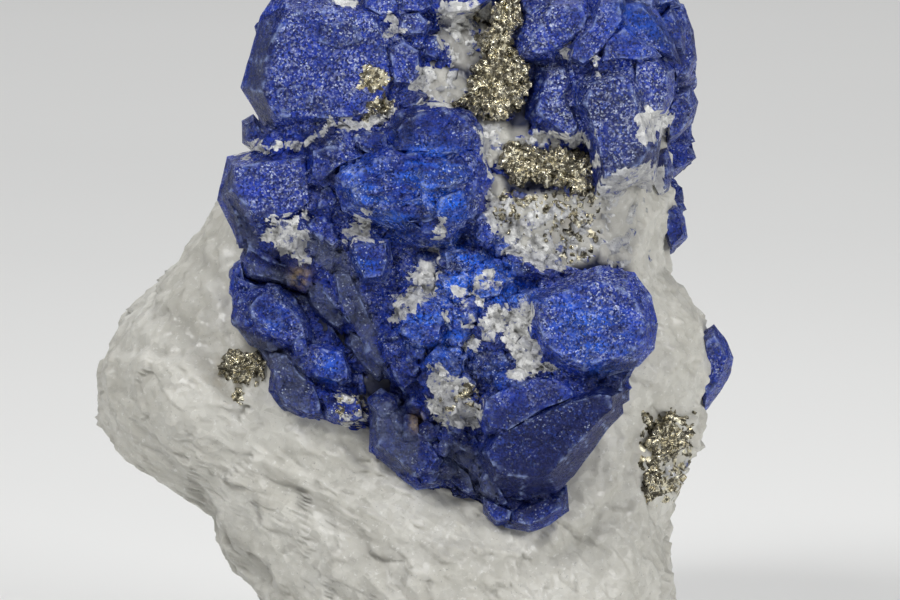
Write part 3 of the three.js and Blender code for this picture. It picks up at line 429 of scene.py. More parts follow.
PYRITE_LOWER = [
    dict(outline=[[447, 394], [460, 388], [474, 391], [474, 402], [461, 405], [450, 402]], depth=30,
         tilt=[0, 0.1], dome=0.6, thick=2.4),
]

CALCITE_SEAM = [
    dict(outline=[[248, 156], [250, 138], [300, 128], [330, 112], [360, 112], [394, 112], [400, 126],
         [380, 142], [330, 146], [290, 158]], depth=24.4, tilt=[0.03, 0], dome=1, thick=9),
]

CALCITE_LEFT = [
    dict(outline=[[258, 226], [290, 212], [312, 208], [316, 224], [300, 240], [318, 262], [322, 276],
         [298, 288], [286, 266], [262, 246]], depth=26.2, tilt=[0.03, 0.05], dome=0.8, thick=5),
]

CALCITE_CENTRE = [
    dict(outline=[[462, 350], [466, 340], [482, 328], [478, 310], [490, 302], [506, 306], [522, 300],
         [532, 310], [534, 330], [546, 352], [555, 376], [536, 378], [514, 378], [506, 358], [488, 344],
         [476, 358]], depth=30, tilt=[0, 0.05], dome=0.8, thick=6),
]

CALCITE_LOWER = [
    dict(outline=[[420, 358], [434, 348], [448, 354], [456, 368], [468, 382], [482, 398], [480, 424],
         [458, 432], [438, 428], [424, 408], [422, 388], [430, 374]], depth=29, tilt=[0.03, 0.1], dome=1,
         thick=6),
]
# Creases of the marble, as drawing points, and how deep and wide they are.
MARBLE_CREASES = [
    ([[145, 430], [157, 448], [172, 462], [186, 485], [204, 506], [228, 532], [262, 578]], 1.1, 7),
    ([[150, 312], [170, 316], [186, 326], [193, 342], [214, 372], [232, 396]], 0.9, 9),
    ([[196, 262], [214, 268], [226, 286], [228, 320]], 0.8, 8),
    ([[262, 470], [310, 500], [362, 538], [402, 590]], 0.5, 10),
    ([[560, 560], [600, 528], [628, 486], [640, 440]], 0.7, 10),
    ([[352, 560], [420, 548], [500, 566], [560, 560]], 0.4, 12),
]
# Steps of the marble: below each line the surface stands forward by a height that dies away.
MARBLE_STEPS = [
    ([[112, 352], [150, 348], [158, 357], [186, 352], [196, 363], [216, 386], [240, 404]], 1.1, 46),
    ([[250, 452], [310, 470], [380, 512], [440, 536], [520, 548]], 0.7, 60),
    ([[600, 300], [640, 330], [690, 352]], 0.8, 50),
]

# Paint on the show side: soft round spots, as [across, down, reach, strength].
AZURE_SPOTS = [[430, 176, 30, 0.9], [372, 190, 24, 0.6], [452, 200, 20, 0.6], [470, 262, 16, 0.6],
               [456, 345, 14, 0.7], [442, 372, 16, 0.4], [366, 262, 14, 0.4], [395, 222, 18, 0.4],
               [500, 292, 20, 0.5], [500, 372, 14, 0.4], [640, 22, 30, 0.3], [352, 172, 12, 0.4],
               [455, 280, 30, 0.9], [424, 328, 22, 0.7], [505, 252, 18, 0.5], [520, 294, 18, 0.5],
               [575, 320, 28, 0.5], [610, 345, 28, 0.4], [276, 318, 14, 0.4], [330, 368, 14, 0.4]]
# Painted shade: dark spots where faces turn from the light, in cracks and under the crystals.
PAINTED_SHADE_SPOTS = [[300, 280, 22, 0.6], [350, 330, 26, 0.5], [600, 392, 22, 0.8], [520, 492, 30, 0.9],
              [460, 455, 22, 0.6], [244, 240, 16, 0.5], [430, 232, 22, 0.4], [508, 30, 20, 0.4],
              [404, 380, 18, 0.6], [560, 470, 20, 0.5], [400, 450, 40, 0.4], [300, 370, 40, 0.3],
              [540, 440, 50, 0.5], [430, 130, 30, 0.3], [450, 398, 34, 0.5], [298, 246, 24, 0.3],
              [634, 226, 36, 0.45]]
# Pale frost with painted sheen where faces catch the light.
FROST_AND_SHEEN_SPOTS = [[350, 50, 50, 0.15], [568, 40, 36, 0.1], [620, 110, 40, 0.3], [618, 288, 24, 0.6],
               [650, 85, 30, 0.5], [455, 285, 40, 0.4], [300, 340, 24, 0.2], [430, 210, 30, 0.2]]
# Single faces that are darker than the rest by painted shade where they turn from the light, more frosted
# with painted sheen where they catch it, or greyer with an ashen film and painted grey sheen: strength and
# outline.
PAINTED_SHADE_OUTLINES = [
    [0.8, [[372, 382], [398, 390], [430, 425], [425, 430], [400, 418], [385, 405]]],
    [0.7, [[585, 372], [610, 364], [640, 358], [630, 385], [628, 405], [600, 420]]],
    [0.9, [[486, 474], [560, 474], [612, 414], [628, 404], [602, 444], [560, 492], [520, 500],
           [496, 506]]],
    [0.5, [[514, 66], [540, 58], [548, 72], [538, 100], [530, 132], [508, 132]]],
    [0.5, [[604, 0], [640, 0], [684, 50], [682, 68], [640, 30]]],
    [0.5, [[262, 18], [284, 8], [272, 60], [268, 112], [284, 140], [256, 112], [246, 90]]],
    [0.6, [[220, 190], [232, 168], [240, 206], [262, 246], [300, 262], [296, 276], [248, 262]]],
    [0.5, [[300, 130], [344, 122], [334, 182], [312, 180]]],
    [0.5, [[392, 118], [418, 104], [410, 150], [392, 152]]],
    [0.6, [[232, 322], [262, 340], [290, 352], [286, 362], [250, 350]]],
    [0.5, [[640, 150], [664, 140], [664, 196], [600, 200], [612, 188]]],
]
# Frost with painted sheen on single faces that catch the light.
FROST_AND_SHEEN_OUTLINES = [
    [1.0, [[546, 66], [562, 70], [568, 100], [580, 138], [560, 130], [548, 100]]],
    [0.7, [[528, 14], [556, 6], [562, 20], [540, 54], [520, 56]]],
    [0.3, [[580, 76], [612, 72], [640, 84], [648, 150], [606, 190], [590, 120]]],
    [0.5, [[304, 232], [320, 238], [345, 250], [352, 265], [362, 290], [340, 280], [318, 262],
           [300, 252]]],
    [0.2, [[284, 14], [380, 18], [384, 60], [340, 112], [284, 118], [272, 60]]],
    [0.2, [[240, 166], [300, 156], [308, 206], [262, 214], [246, 206]]],
    [0.15, [[530, 300], [590, 268], [640, 300], [644, 330], [600, 360], [548, 352]]],
    [0.6, [[326, 142], [344, 134], [352, 160], [330, 170]]],
]
# Ashen film with a painted grey sheen of reflected light on single faces.
GREY_FILM_AND_SHEEN_OUTLINES = [
    [0.8, [[304, 284], [320, 282], [346, 320], [340, 332], [310, 304]]],
    [0.8, [[333, 270], [352, 270], [380, 332], [366, 344], [338, 300]]],
    [0.9, [[348, 330], [374, 340], [388, 374], [376, 384], [348, 348]]],
    [0.8, [[248, 262], [298, 276], [298, 286], [250, 280]]],
    [0.9, [[304, 232], [320, 236], [345, 250], [352, 265], [362, 290], [340, 282], [316, 262]]],
    [0.7, [[236, 328], [268, 340], [300, 360], [312, 410], [286, 412], [268, 372]]],
    [0.6, [[372, 400], [392, 400], [420, 440], [414, 476], [384, 468], [370, 440]]],
    [0.8, [[440, 440], [470, 446], [500, 500], [480, 500], [450, 470]]],
    [0.5, [[232, 168], [246, 206], [262, 246], [250, 252], [220, 196]]],
    [0.5, [[262, 22], [276, 14], [266, 62], [264, 100], [278, 134], [262, 124], [246, 90]]],
    [0.2, [[604, 90], [642, 90], [648, 150], [620, 180], [606, 150]]],
]
RUST_SPOTS = [[300, 277, 9, 0.8], [232, 372, 22, 0.5], [660, 460, 20, 0.4], [500, 200, 16, 0.3],
              [417, 417, 5, 1.0], [560, 230, 30, 0.4]]

# White calcite between the crystals: strength and outline. Below full strength it is speckled.
CALCITE_OUTLINES = [
    [1.0, [[380, 18], [398, 18], [408, 34], [400, 38], [384, 44], [386, 34]]],
    [0.62, [[436, 4], [490, 6], [490, 20], [486, 30], [478, 60], [465, 70], [450, 62], [436, 34]]],
    [0.85, [[424, 64], [440, 66], [462, 78], [468, 88], [466, 98], [448, 106], [421, 108], [428, 98],
            [410, 86]]],
    [0.9, [[261, 224], [290, 216], [306, 214], [304, 224], [300, 250], [310, 262], [296, 262],
           [280, 252], [262, 242]]],
    [0.9, [[481, 312], [490, 304], [505, 308], [520, 302], [528, 310], [530, 326], [538, 345],
           [551, 372], [540, 372], [520, 376], [510, 368], [514, 355], [500, 335], [490, 340],
           [474, 356], [464, 352], [465, 343], [480, 335]]],
    [0.9, [[413, 270], [426, 246], [440, 258], [436, 275], [438, 290], [430, 297], [415, 308],
           [392, 322], [390, 300], [402, 296]]],
    [0.8, [[422, 357], [432, 350], [446, 354], [444, 362], [455, 370], [465, 380], [478, 392],
           [478, 420], [460, 430], [440, 425], [430, 410], [425, 395], [436, 380]]],
    [0.95, [[365, 207], [370, 212], [366, 222], [378, 230], [387, 238], [370, 240], [352, 238],
            [346, 250], [342, 234], [346, 228], [356, 226]]],
    [0.8, [[636, 112], [650, 108], [672, 112], [676, 120], [660, 136], [648, 148], [635, 140]]],
    [0.8, [[595, 186], [640, 160], [664, 170], [664, 262], [640, 270], [600, 262], [596, 220]]],
    [0.9, [[478, 120], [508, 124], [512, 140], [498, 160], [506, 196], [604, 190], [606, 240],
           [590, 262], [560, 270], [520, 262], [500, 240], [486, 214], [492, 180], [482, 150]]],
    [0.5, [[335, 392], [366, 396], [366, 428], [338, 424]]],
    [0.36, [[440, 268], [500, 266], [530, 286], [500, 304], [470, 330], [444, 322]]],
    [0.7, [[560, 45], [571, 45], [571, 58], [560, 58]]],
    [0.8, [[335, 0], [362, 0], [358, 10], [340, 9]]],
    [0.6, [[500, 128], [594, 134], [592, 150], [504, 150]]],
    [0.5, [[384, 104], [400, 108], [388, 128], [352, 130]]],
    [0.9, [[658, 446], [690, 446], [692, 492], [658, 492]]],
]
# Thin seams of calcite: strength, reach and line.
CALCITE_LINES = [
    [1.0, 4.5, [[246, 153], [272, 146], [283, 141], [308, 142], [322, 129], [340, 121], [352, 131],
                [372, 127], [388, 118]]],
    [0.7, 3.0, [[437, 246], [441, 228], [446, 214]]],
    [0.6, 3.0, [[590, 60], [600, 72], [596, 84]]],
    [0.6, 4.0, [[596, 150], [600, 172], [604, 196]]],
    [0.5, 3.5, [[628, 250], [606, 268], [596, 280]]],
]
# Pyrite: strength and outline, outside its own masses.
PYRITE_OUTLINES = [
    [0.9, [[358, 80], [365, 68], [382, 68], [392, 80], [386, 90], [376, 93], [362, 88]]],
    [0.85, [[372, 98], [388, 96], [396, 106], [385, 114], [373, 117], [366, 124], [354, 127]]],
    [0.42, [[500, 188], [600, 186], [600, 228], [592, 262], [560, 262], [540, 214], [500, 222],
            [512, 250], [500, 248], [490, 200]]],
    [0.8, [[228, 392], [242, 390], [246, 402], [232, 406]]],
    [0.36, [[335, 392], [366, 396], [366, 428], [338, 424]]],
    [0.35, [[470, 10], [494, 4], [500, 20], [486, 60], [470, 90], [462, 96], [462, 80], [478, 50]]],
    [0.30, [[440, 385], [482, 385], [482, 412], [440, 412]]],
    [0.5, [[640, 408], [694, 412], [694, 500], [660, 508], [638, 470]]],
]

# Where the blue cluster starts and ends, as [down, left, right].
CLUSTER_ROWS = [[-48, 350, 600], [-20, 300, 650], [0, 272, 676], [30, 262, 688], [80, 256, 688],
                [115, 258, 680], [135, 262, 672], [150, 252, 668], [165, 232, 666], [205, 228, 664],
                [240, 242, 660], [300, 240, 648], [335, 246, 646], [355, 268, 640], [400, 282, 618],
                [420, 312, 606], [435, 360, 600], [460, 380, 584], [485, 404, 566], [505, 488, 558],
                [522, 500, 546]]
# Open cracks between the crystals: how deep and wide they are, and the line.
OPEN_CRACKS = [
    [4.0, 7, [[245, 285], [275, 290], [305, 300], [325, 335], [350, 375], [370, 400]]],
    [2.0, 5, [[372, 390], [398, 400], [425, 428]]],
    [2.0, 5, [[600, 385], [625, 372]]],
]


def place(across, down, depth):
    """The point that the eye sees at a drawing point: the drawing's squares shrink in step with
    the distance to the eye, and the line of sight falls by the eye's angle."""
    nearness = 1 - depth / EYE_DISTANCE
    side = (across - MIDDLE_ACROSS) * SQUARE * nearness
    rise = (MIDDLE_DOWN - down) * SQUARE * nearness
    height = MIDDLE_HEIGHT + (rise + depth * math.sin(EYE_ANGLE)) / math.cos(EYE_ANGLE)
    return np.stack(np.broadcast_arrays(side, -depth, height), -1)


def drawn_at(points):
    """The inverse of place: across, down and depth of points."""
    depth = -points[..., 1]
    nearness = 1 - depth / EYE_DISTANCE
    rise = (points[..., 2] - MIDDLE_HEIGHT) * math.cos(EYE_ANGLE) - depth * math.sin(EYE_ANGLE)
    across = MIDDLE_ACROSS + points[..., 0] / (SQUARE * nearness)
    down = MIDDLE_DOWN - rise / (SQUARE * nearness)
    return across, down, depth


def random_of(cells, seed):
    """A repeatable random number from 0 to 1 for each whole-numbered cell of space."""
    x, y, z = (cells[..., k].astype(np.int64) for k in range(3))
    mixed = (x * 73856093 ^ y * 19349663 ^ z * 83492791 ^ seed * 62089911) & 0xffffffff
    mixed = ((mixed ^ (mixed >> 15)) * 2246822519) & 0xffffffff
    mixed = ((mixed ^ (mixed >> 13)) * 3266489917) & 0xffffffff
    return (mixed ^ (mixed >> 16)) / 0xffffffff


def noise(points, size, seed=0):
    """Smooth noise from -1 to 1: random values on a lattice, blended by a smooth step."""
    lattice = points / size
    base = np.floor(lattice)
    part = lattice - base
    part = part * part * (3 - 2 * part)
    total = 0
    for corner in itertools.product((0, 1), repeat=3):
        weight = np.where(corner, part, 1 - part).prod(-1)
        total = total + weight * random_of(base + corner, seed)
    return 2 * total - 1


def cloudy(points, size, octaves, seed=0):
    """A sum of noises, each half the size and half the height of the one before."""
    return sum(noise(points, size / 2 ** k, seed + k) / 2 ** k for k in range(octaves))


def facets(points, size, tilt, step, seed=0):
    """Heights of a broken surface: each grain of a jittered lattice is a plane with its own slope
    and its own level."""
    lattice = points / size
    base = np.floor(lattice)
    nearest = np.full(lattice.shape[:-1], np.inf)
    height = np.zeros_like(nearest)
    for neighbour in itertools.product((-1, 0, 1), repeat=3):
        cell = base + neighbour
        jitter = np.stack([random_of(cell, seed + k) for k in range(3)], -1)
        offset = lattice - cell - jitter
        away = np.linalg.norm(offset, axis=-1)
        slope = 2 * jitter[..., ::-1] - 1
        plane = (offset * slope).sum(-1) * tilt * size + (2 * jitter[..., 1] - 1) * step
        height = np.where(away < nearest, plane, height)
        nearest = np.minimum(nearest, away)
    return height


def grain_of(points, size, seed=0):
    """The middle of the grain that each point belongs to, in a jittered lattice, and a random
    number from 0 to 1 for the grain."""
    lattice = points / size
    base = np.floor(lattice)
    nearest = np.full(lattice.shape[:-1], np.inf)
    middle = np.zeros_like(lattice)
    chance = np.zeros_like(nearest)
    for neighbour in itertools.product((-1, 0, 1), repeat=3):
        cell = base + neighbour
        centre = cell + np.stack([random_of(cell, seed + k) for k in range(3)], -1)
        away = np.linalg.norm(lattice - centre, axis=-1)
        closer = away < nearest
        middle = np.where(closer[..., None], centre, middle)
        chance = np.where(closer, random_of(cell, seed + 5), chance)
        nearest = np.minimum(nearest, away)
    return middle * size, chance


def spots(across, down, rows):
    """The sum of soft round spots: strength times a bell curve of the distance over the reach."""
    total = np.zeros(np.shape(across))
    for middle_across, middle_down, reach, strength in rows:
        away = np.hypot(across - middle_across, down - middle_down) / reach
        total += strength * np.exp(-away * away)
    return total


def distance_to_line(across, down, line):
    """How far drawing points lie from a line of drawing points."""
    corners = np.array(line, float)
    nearest = np.full(across.shape, np.inf)
    for start, end in zip(corners, corners[1:]):
        run = end - start
        part = ((across - start[0]) * run[0] + (down - start[1]) * run[1]) / (run @ run)
        part = np.clip(part, 0, 1)
        away = np.hypot(across - start[0] - part * run[0], down - start[1] - part * run[1])
        nearest = np.minimum(nearest, away)
    return nearest


def inside(outline, across, down):
    """Whether drawing points lie in an outline, by counting the sides to their right."""
    corners = np.array(outline, float)
    crossings = np.zeros(across.shape, int)
    for (x0, y0), (x1, y1) in zip(corners, np.roll(corners, -1, axis=0)):
        spans = (y0 > down) != (y1 > down)
        where = x0 + (down - y0) * (x1 - x0) / (y1 - y0 if y1 != y0 else 1)
        crossings += spans & (across < where)
    return crossings % 2 == 1


def covered(across, down, outlines, soft=3.0):
    """How far outlines cover drawing points: their strength inside, falling off over a few
    squares on both sides of the border."""
    total = np.zeros(across.shape)
    for strength, outline in outlines:
        near = np.array(outline, float)
        low, high = near.min(0) - 3 * soft, near.max(0) + 3 * soft
        here = (across > low[0]) & (across < high[0]) & (down > low[1]) & (down < high[1])
        a, d = across[here], down[here]
        away = distance_to_line(a, d, outline + outline[:1])
        away = np.where(inside(outline, a, d), away, -away)
        total[here] = np.maximum(total[here], strength * np.clip(0.5 + away / (2 * soft), 0, 1))
    return total


def grown(outline, by):
    """An outline whose corners move away from its middle by a number of squares."""
    middle = outline.mean(0)
    reach = np.linalg.norm(outline - middle, axis=1, keepdims=True)
    return outline + (outline - middle) * by / reach


def ring_on(outline, depth, tilt, middle):
    """An outline put on a plane that rises to the right and upwards by the two slopes of tilt."""
    across, down = outline.T
    lean = tilt[0] * (across - middle[0]) + tilt[1] * (middle[1] - down)
    return place(across, down, depth + lean * SQUARE)


def stops_along(length, spacing):
    """Places from 0 to 1 along a length: evenly spaced, and one close to each end, so that the
    edge there stays sharp."""
    close = min(0.06 / length, 0.2)
    count = max(2, round(length / spacing))
    return np.concatenate([[0], np.linspace(close, 1 - close, count)])


def skin(front, rings, back, spacing):
    """A closed surface from a front point through rings of equal count to a back point. Its rows
    are straight blends from ring to ring, and its columns run along the rings. Also how near each
    point lies to an edge, from 0 to 1."""
    widest = rings[min(1, len(rings) - 1)]
    sides = np.linalg.norm(np.roll(widest, -1, axis=0) - widest, axis=1)
    parts = [stops_along(side, spacing) for side in sides]
    part = np.concatenate(parts)[:, None]
    corner = np.repeat(np.arange(len(sides)), [len(stops) for stops in parts])
    to_corner = np.minimum(part[:, 0], 1 - part[:, 0]) * sides[corner]
    following = (corner + 1) % len(sides)
    lines = [ring[corner] * (1 - part) + ring[following] * part for ring in rings]
    columns = len(corner)
    levels = [np.broadcast_to(front, (columns, 3)), *lines, np.broadcast_to(back, (columns, 3))]
    rows, edges = [], []
    for number, (near, far) in enumerate(zip(levels, levels[1:])):
        length = np.linalg.norm(far - near, axis=1).mean()
        hidden = number == len(levels) - 2
        gap = (1, 1, 2, 3)[number] * spacing if not hidden else 3 * spacing
        stops = np.append(stops_along(length, gap)[1:], 1)[:, None]
        rows.append(near + (far - near) * stops[..., None])
        to_far = (1 - stops) * length
        to_edge = to_far if number == 0 else np.minimum(np.minimum(stops * length, to_far), to_corner)
        edges.append(np.exp(-(to_edge + 0 * to_corner) / 0.3))
    grid, edge = np.concatenate(rows)[:-1], np.concatenate(edges)[:-1]
    points = np.concatenate([[front], grid.reshape(-1, 3), [back]])
    wear = np.concatenate([[0], edge.ravel(), [0]])
    return points, closed_faces(len(grid), columns), wear


def closed_faces(rows, columns):
    """Triangles of a grid that closes round its columns, with a pole before and after its rows."""
    index = 1 + np.arange(rows * columns).reshape(rows, columns)
    following = np.roll(index, -1, axis=1)
    a, b, c, d = index[:-1], following[:-1], following[1:], index[1:]
    walls = np.stack([a, d, b, b, d, c], -1).reshape(-1, 3)
    first = np.stack([0 * index[0], index[0], following[0]], -1)
    last = np.stack([0 * index[-1] + rows * columns + 1, following[-1], index[-1]], -1)
    return np.concatenate([first, walls, last])


def facing_out(points, faces):
    """The faces, turned round if they enclose a negative volume."""
    a, b, c = (points[faces[:, k]] for k in range(3))
    volume = (a * np.cross(b, c)).sum()
    return faces if volume > 0 else faces[:, ::-1]


def normals_of(points, faces):
    """Unit normals of the points: the sum of the normals of the faces that meet there."""
    a, b, c = (points[faces[:, k]] for k in range(3))
    face_normals = np.cross(b - a, c - a)
    total = np.zeros_like(points)
    for k in range(3):
        for axis in range(3):
            total[:, axis] += np.bincount(faces[:, k], face_normals[:, axis], len(points))
    return total / np.maximum(np.linalg.norm(total, axis=1, keepdims=True), 1e-12)


def crystal_surface(row, spacing=FINE):
    """A crystal of the show side: a flat face, a bevel down to the rim, sides that run back and a
    hidden tip, as rings on tilted planes."""
    face = np.array(row["face"], float)
    middle = face.mean(0)
    rim = np.array(row["rim"], float) if isinstance(row["rim"], list) else grown(face, row["rim"])
    rim = grown(rim, RIM_GROWTH)
    tilt = np.array(row["tilt"], float)
    behind = row["depth"] - row["bevel"]
    rings = [ring_on(face, row["depth"], tilt, middle), ring_on(rim, behind, tilt / 2, middle)]
    if "stub" in row:
        rings.append(ring_on(grown(rim, -3), behind - row["stub"], tilt / 2, middle))
    front = place(*middle, row["depth"])
    back = place(*middle, row["depth"] - row["root"])
    return skin(front, rings, back, spacing)


def turned_surface(row, spacing=COARSE):
    """A crystal that faces any way: irregular polygons for the face, the widest section and the
    start of the tip, at reach times cosine and sine of their corners' angles."""
    turned, leant = math.radians(row["turn"]), math.radians(row["lean"])
    outwards = np.array([math.sin(turned) * math.cos(leant), -math.cos(turned) * math.cos(leant),
                         math.sin(leant)])
    right = np.array([math.cos(turned), math.sin(turned), 0])
    up = np.cross(outwards, right)
    at, size, root = np.array(row["at"], float), row["size"], row["root"]
    corner = np.arange(row["corners"])
    angle = (corner + 0.18 * np.sin(3 * corner + row["turn"])) * 2 * math.pi / row["corners"] + size
    reach = size * (0.86 + 0.14 * np.sin(2.3 * corner + row["turn"] + row["lean"]))

    def ring(scale, out):
        side = (scale * reach * np.cos(angle))[:, None]
        rise = (0.86 * scale * reach * np.sin(angle))[:, None]
        return at + side * right + rise * up + out * outwards

    rings = [ring(0.62, size * 0.42), ring(1, 0), ring(0.9, -root / 2)]
    return skin(at + size * 0.42 * outwards, rings, at - root * outwards, spacing)


def dome_surface(row, spacing=FINE):
    """A low dome with a thinner edge and a flat back, for grains that fill a hollow."""
    outline = np.array(row["outline"], float)
    middle = outline.mean(0)
    rings = [ring_on(grown(outline, -6), row["depth"] + row["dome"], row["tilt"], middle),
             ring_on(outline, row["depth"], row["tilt"], middle),
             ring_on(grown(outline, -4), row["depth"] - row["thick"], row["tilt"], middle)]
    front = place(*middle, row["depth"] + row["dome"])
    return skin(front, rings, place(*middle, row["depth"] - row["thick"]), spacing)


def joined(parts):
    """Several surfaces as one set of arrays, the faces counted on."""
    starts = np.cumsum([0] + [len(part[0]) for part in parts[:-1]])
    points = np.concatenate([part[0] for part in parts])
    faces = np.concatenate([part[1] + start for part, start in zip(parts, starts)])
    rest = [np.concatenate([part[k] for part in parts]) for k in range(2, len(parts[0]))]
    return (points, faces, *rest)


def wandered(points, amount, size, seed):
    """Points moved by smooth noise in all three directions, so that straight edges waver."""
    return points + amount * np.stack([noise(points, size, seed + k) for k in range(3)], -1)


def crystal_stone(rows, make, broken, spacing, seed):
    """Crystals with natural faces: edges that waver, low growth steps, chips and, as far as the
    stone is broken, two sizes of fracture facets that die away at the edges, all added along
    the normals."""
    parts = []
    for number, row in enumerate(rows):
        points, faces, wear = make(row, spacing)
        faces = facing_out(points, faces)
        normals = normals_of(points, faces)
        steps = 2.4 * noise(points * [1, 1, 1.6], 6.5, seed + 2)
        terrace = np.floor(steps) + np.clip(9 * (steps - np.floor(steps)), 0, 1)
        height = (0.03 + 0.10 * broken) * terrace + 0.03 * noise(points, 1.6, seed + 1)
        chip = np.clip(noise(points, 1.5, seed + 3) + 0.3 * noise(points, 0.5, seed + 4) - 0.3, 0, 1)
        height -= wear * (0.02 + (0.12 + 0.4 * broken) * chip)
        if broken:
            fracture = facets(points, 3.4, 0.42, 0.36, seed + 5)
            fracture = fracture + facets(points, 1.3, 0.34, 0.08, seed + 9)
            height += broken * (1 - 0.6 * wear) * fracture
        moved = wandered(points + normals * height[:, None], 0.12, 3.2, seed + 12)
        shade = np.full(len(points), random_of(np.array([number, seed, 7]), 3))
        parts.append((moved, faces, wear, shade))
    return joined(parts)


def smooth_rows(rows, downs):
    """The columns of a table at given downs, by cubic curves through its rows."""
    table = np.array(rows, float)[::-1]
    slopes = np.gradient(table[:, 1:], table[:, 0], axis=0)
    after = np.clip(np.searchsorted(table[:, 0], downs), 1, len(table) - 1)
    low, high = table[after - 1], table[after]
    width = (high[:, 0] - low[:, 0])[:, None]
    t = ((downs - low[:, 0]) / width[:, 0])[:, None]
    return ((1 + 2 * t) * (1 - t) ** 2 * low[:, 1:] + t * (1 - t) ** 2 * width * slopes[after - 1]
            + t * t * (3 - 2 * t) * high[:, 1:] + t * t * (t - 1) * width * slopes[after])


def crease_depth(across, down, line, reach):
    """A bell curve of the distance to a line of drawing points, over its reach."""
    return np.exp(-(distance_to_line(across, down, line) / reach) ** 2)


def step_height(across, down, line, fall):
    """Nothing above a line of drawing points, full height just below it, dying away downwards."""
    corners = np.array(line, float)
    below = down - np.interp(across, corners[:, 0], corners[:, 1])
    ends = (across - corners[0, 0]) * (corners[-1, 0] - across) / 400
    rise = np.clip(below / 5, 0, 1)
    return rise * np.exp(-np.clip(below, 0, None) / fall) * np.clip(ends, 0, 1)


def squared(wave):
    """A cosine or sine raised to a power below one, its sign kept, which turns circles into
    oblongs with rounded corners."""
    return np.sign(wave) * np.abs(wave) ** (2 / MARBLE_SQUARENESS)


def section_angles(front_columns, back_columns):
    """Angles of a section's columns: evenly spaced along the outline of its show side and, less
    closely, along its back."""
    fine = np.linspace(math.pi, 3 * math.pi, 4001)
    x, y = squared(np.cos(fine)), 0.7 * squared(np.sin(fine))
    length = np.hypot(np.diff(x), np.diff(y))
    front = fine[:-1] < 2 * math.pi
    step = np.where(front, front_columns / length[front].sum(), back_columns / length[~front].sum())
    along = np.concatenate([[0], np.cumsum(step * length)])
    return np.interp(np.arange(front_columns + back_columns), along, fine)


def marble_relief(points, across, down, shown):
    """How far the marble stands out: waves and the facets of its grain all round, steps and
    creases on the show side."""
    height = sum(size * np.sin(points @ np.array([a, b, c]) + phase)
                 for size, a, b, c, phase in MARBLE_LUMPS)
    fall = sum(depth * crease_depth(across, down, line, width)
               for line, depth, width in MARBLE_CREASES)
    rise = sum(height * step_height(across, down, line, fade) for line, height, fade in MARBLE_STEPS)
    height = height + shown * (rise - fall)
    height += 0.65 * cloudy(points, 13, 3, 40) + facets(points, 5.0, 0.20, 0.12, 41)
    return height + facets(points, 2.1, 0.26, 0.06, 45)


def marble_surface(front_columns=180, back_columns=110, levels=200):
    """The lump: at each level a rounded oblong, |x|^n + |y|^n = 1 with its own left, right, front
    and back, moved out by its swells and its relief, less at the flat foot."""
    downs = np.linspace(MARBLE_ROWS[0][0], MARBLE_ROWS[-1][0], levels)
    left, right, front, back = smooth_rows(MARBLE_ROWS, downs).T[:, :, None]
    angle = section_angles(front_columns, back_columns)
    cos, sin = np.cos(angle)[None], np.sin(angle)[None]
    level = downs[:, None]
    ends = place(left, level, 0), place(right, level, 0)
    foot = ends[0][0, 0, 2]
    middle, half = (ends[0] + ends[1])[..., 0] / 2, (ends[1] - ends[0])[..., 0] / 2
    reach = np.where(sin > 0, back, front)
    x, y = middle + half * squared(cos), reach * squared(sin)
    z = (ends[0][..., 2] - foot) + 0 * x
    points = np.stack([x, y, z], -1)
    outwards = np.stack([cos / half, sin / reach, 0 * x], -1)
    outwards /= np.linalg.norm(outwards, axis=-1, keepdims=True)
    across, down, _ = drawn_at(points)
    shown = np.clip(-3 * sin, 0, 1)
    swell = sum(height * np.exp(-(np.hypot(across - a, down - d) / r) ** 2)
                for a, d, height, r in MARBLE_SWELLS + MARBLE_LEDGE_SWELLS)
    points[..., 1] -= shown * swell
    part = 0.25 + 0.75 * np.clip(z / 1.5, 0, 1)
    points += outwards * (marble_relief(points, across, down, shown) * part)[..., None]
    points[0, :, 2] = 0
    top = points[-1].mean(0) + [0, 0, 2]
    grid = points[:-1]
    middle_of_foot = [grid[0, :, 0].mean(), grid[0, :, 1].mean(), 0]
    cloud = np.concatenate([[middle_of_foot], grid.reshape(-1, 3), [top]])
    return cloud, facing_out(cloud, closed_faces(levels - 1, front_columns + back_columns))


def widened(picture, reach, most):
    """Each square takes the greatest or least value within a reach, first along, then across."""
    for axis in (0, 1):
        picture = most.reduce([np.roll(picture, shift, axis) for shift in range(-reach, reach + 1)])
    return picture


def blurred(picture, reach):
    """Each square takes the mean within a reach, first along, then across."""
    for axis in (0, 1):
        picture = sum(np.roll(picture, shift, axis) for shift in range(-reach, reach + 1))
        picture = picture / (2 * reach + 1)
    return picture


def show_depths(clouds):
    """A map of the greatest depth that surfaces reach at each square of the drawing."""
    deepest = np.full((MAP_SIZE, MAP_SIZE), FAR_BACK)
    for points in clouds:
        across, down, depth = drawn_at(points)
        np.maximum.at(deepest, squares_of(across, down), depth)
    return widened(deepest, 1, np.maximum)


def squares_of(across, down):
    """The rows and columns of a map that belong to drawing points."""
    row = np.clip(np.round(down + MAP_ABOVE).astype(int), 0, MAP_SIZE - 1)
    return row, np.clip(np.round(across).astype(int), 0, MAP_SIZE - 1)


def closed_depths(deepest):
    """A map of depths closed over narrow gaps, that never climbs steeper than the fill may."""
    closed = widened(deepest, CLOSING_REACH, np.maximum)
    closed = widened(closed, CLOSING_REACH, np.minimum)
    closed = np.where(closed > 0, closed, -FAR_BACK)
    for _ in range(16):
        near = [np.roll(closed, shift, axis) for axis in (0, 1) for shift in (-1, 1)]
        closed = np.minimum(closed, np.minimum.reduce(near) + STEEPEST_FILL)
    return blurred(np.minimum(closed, 40), 1)


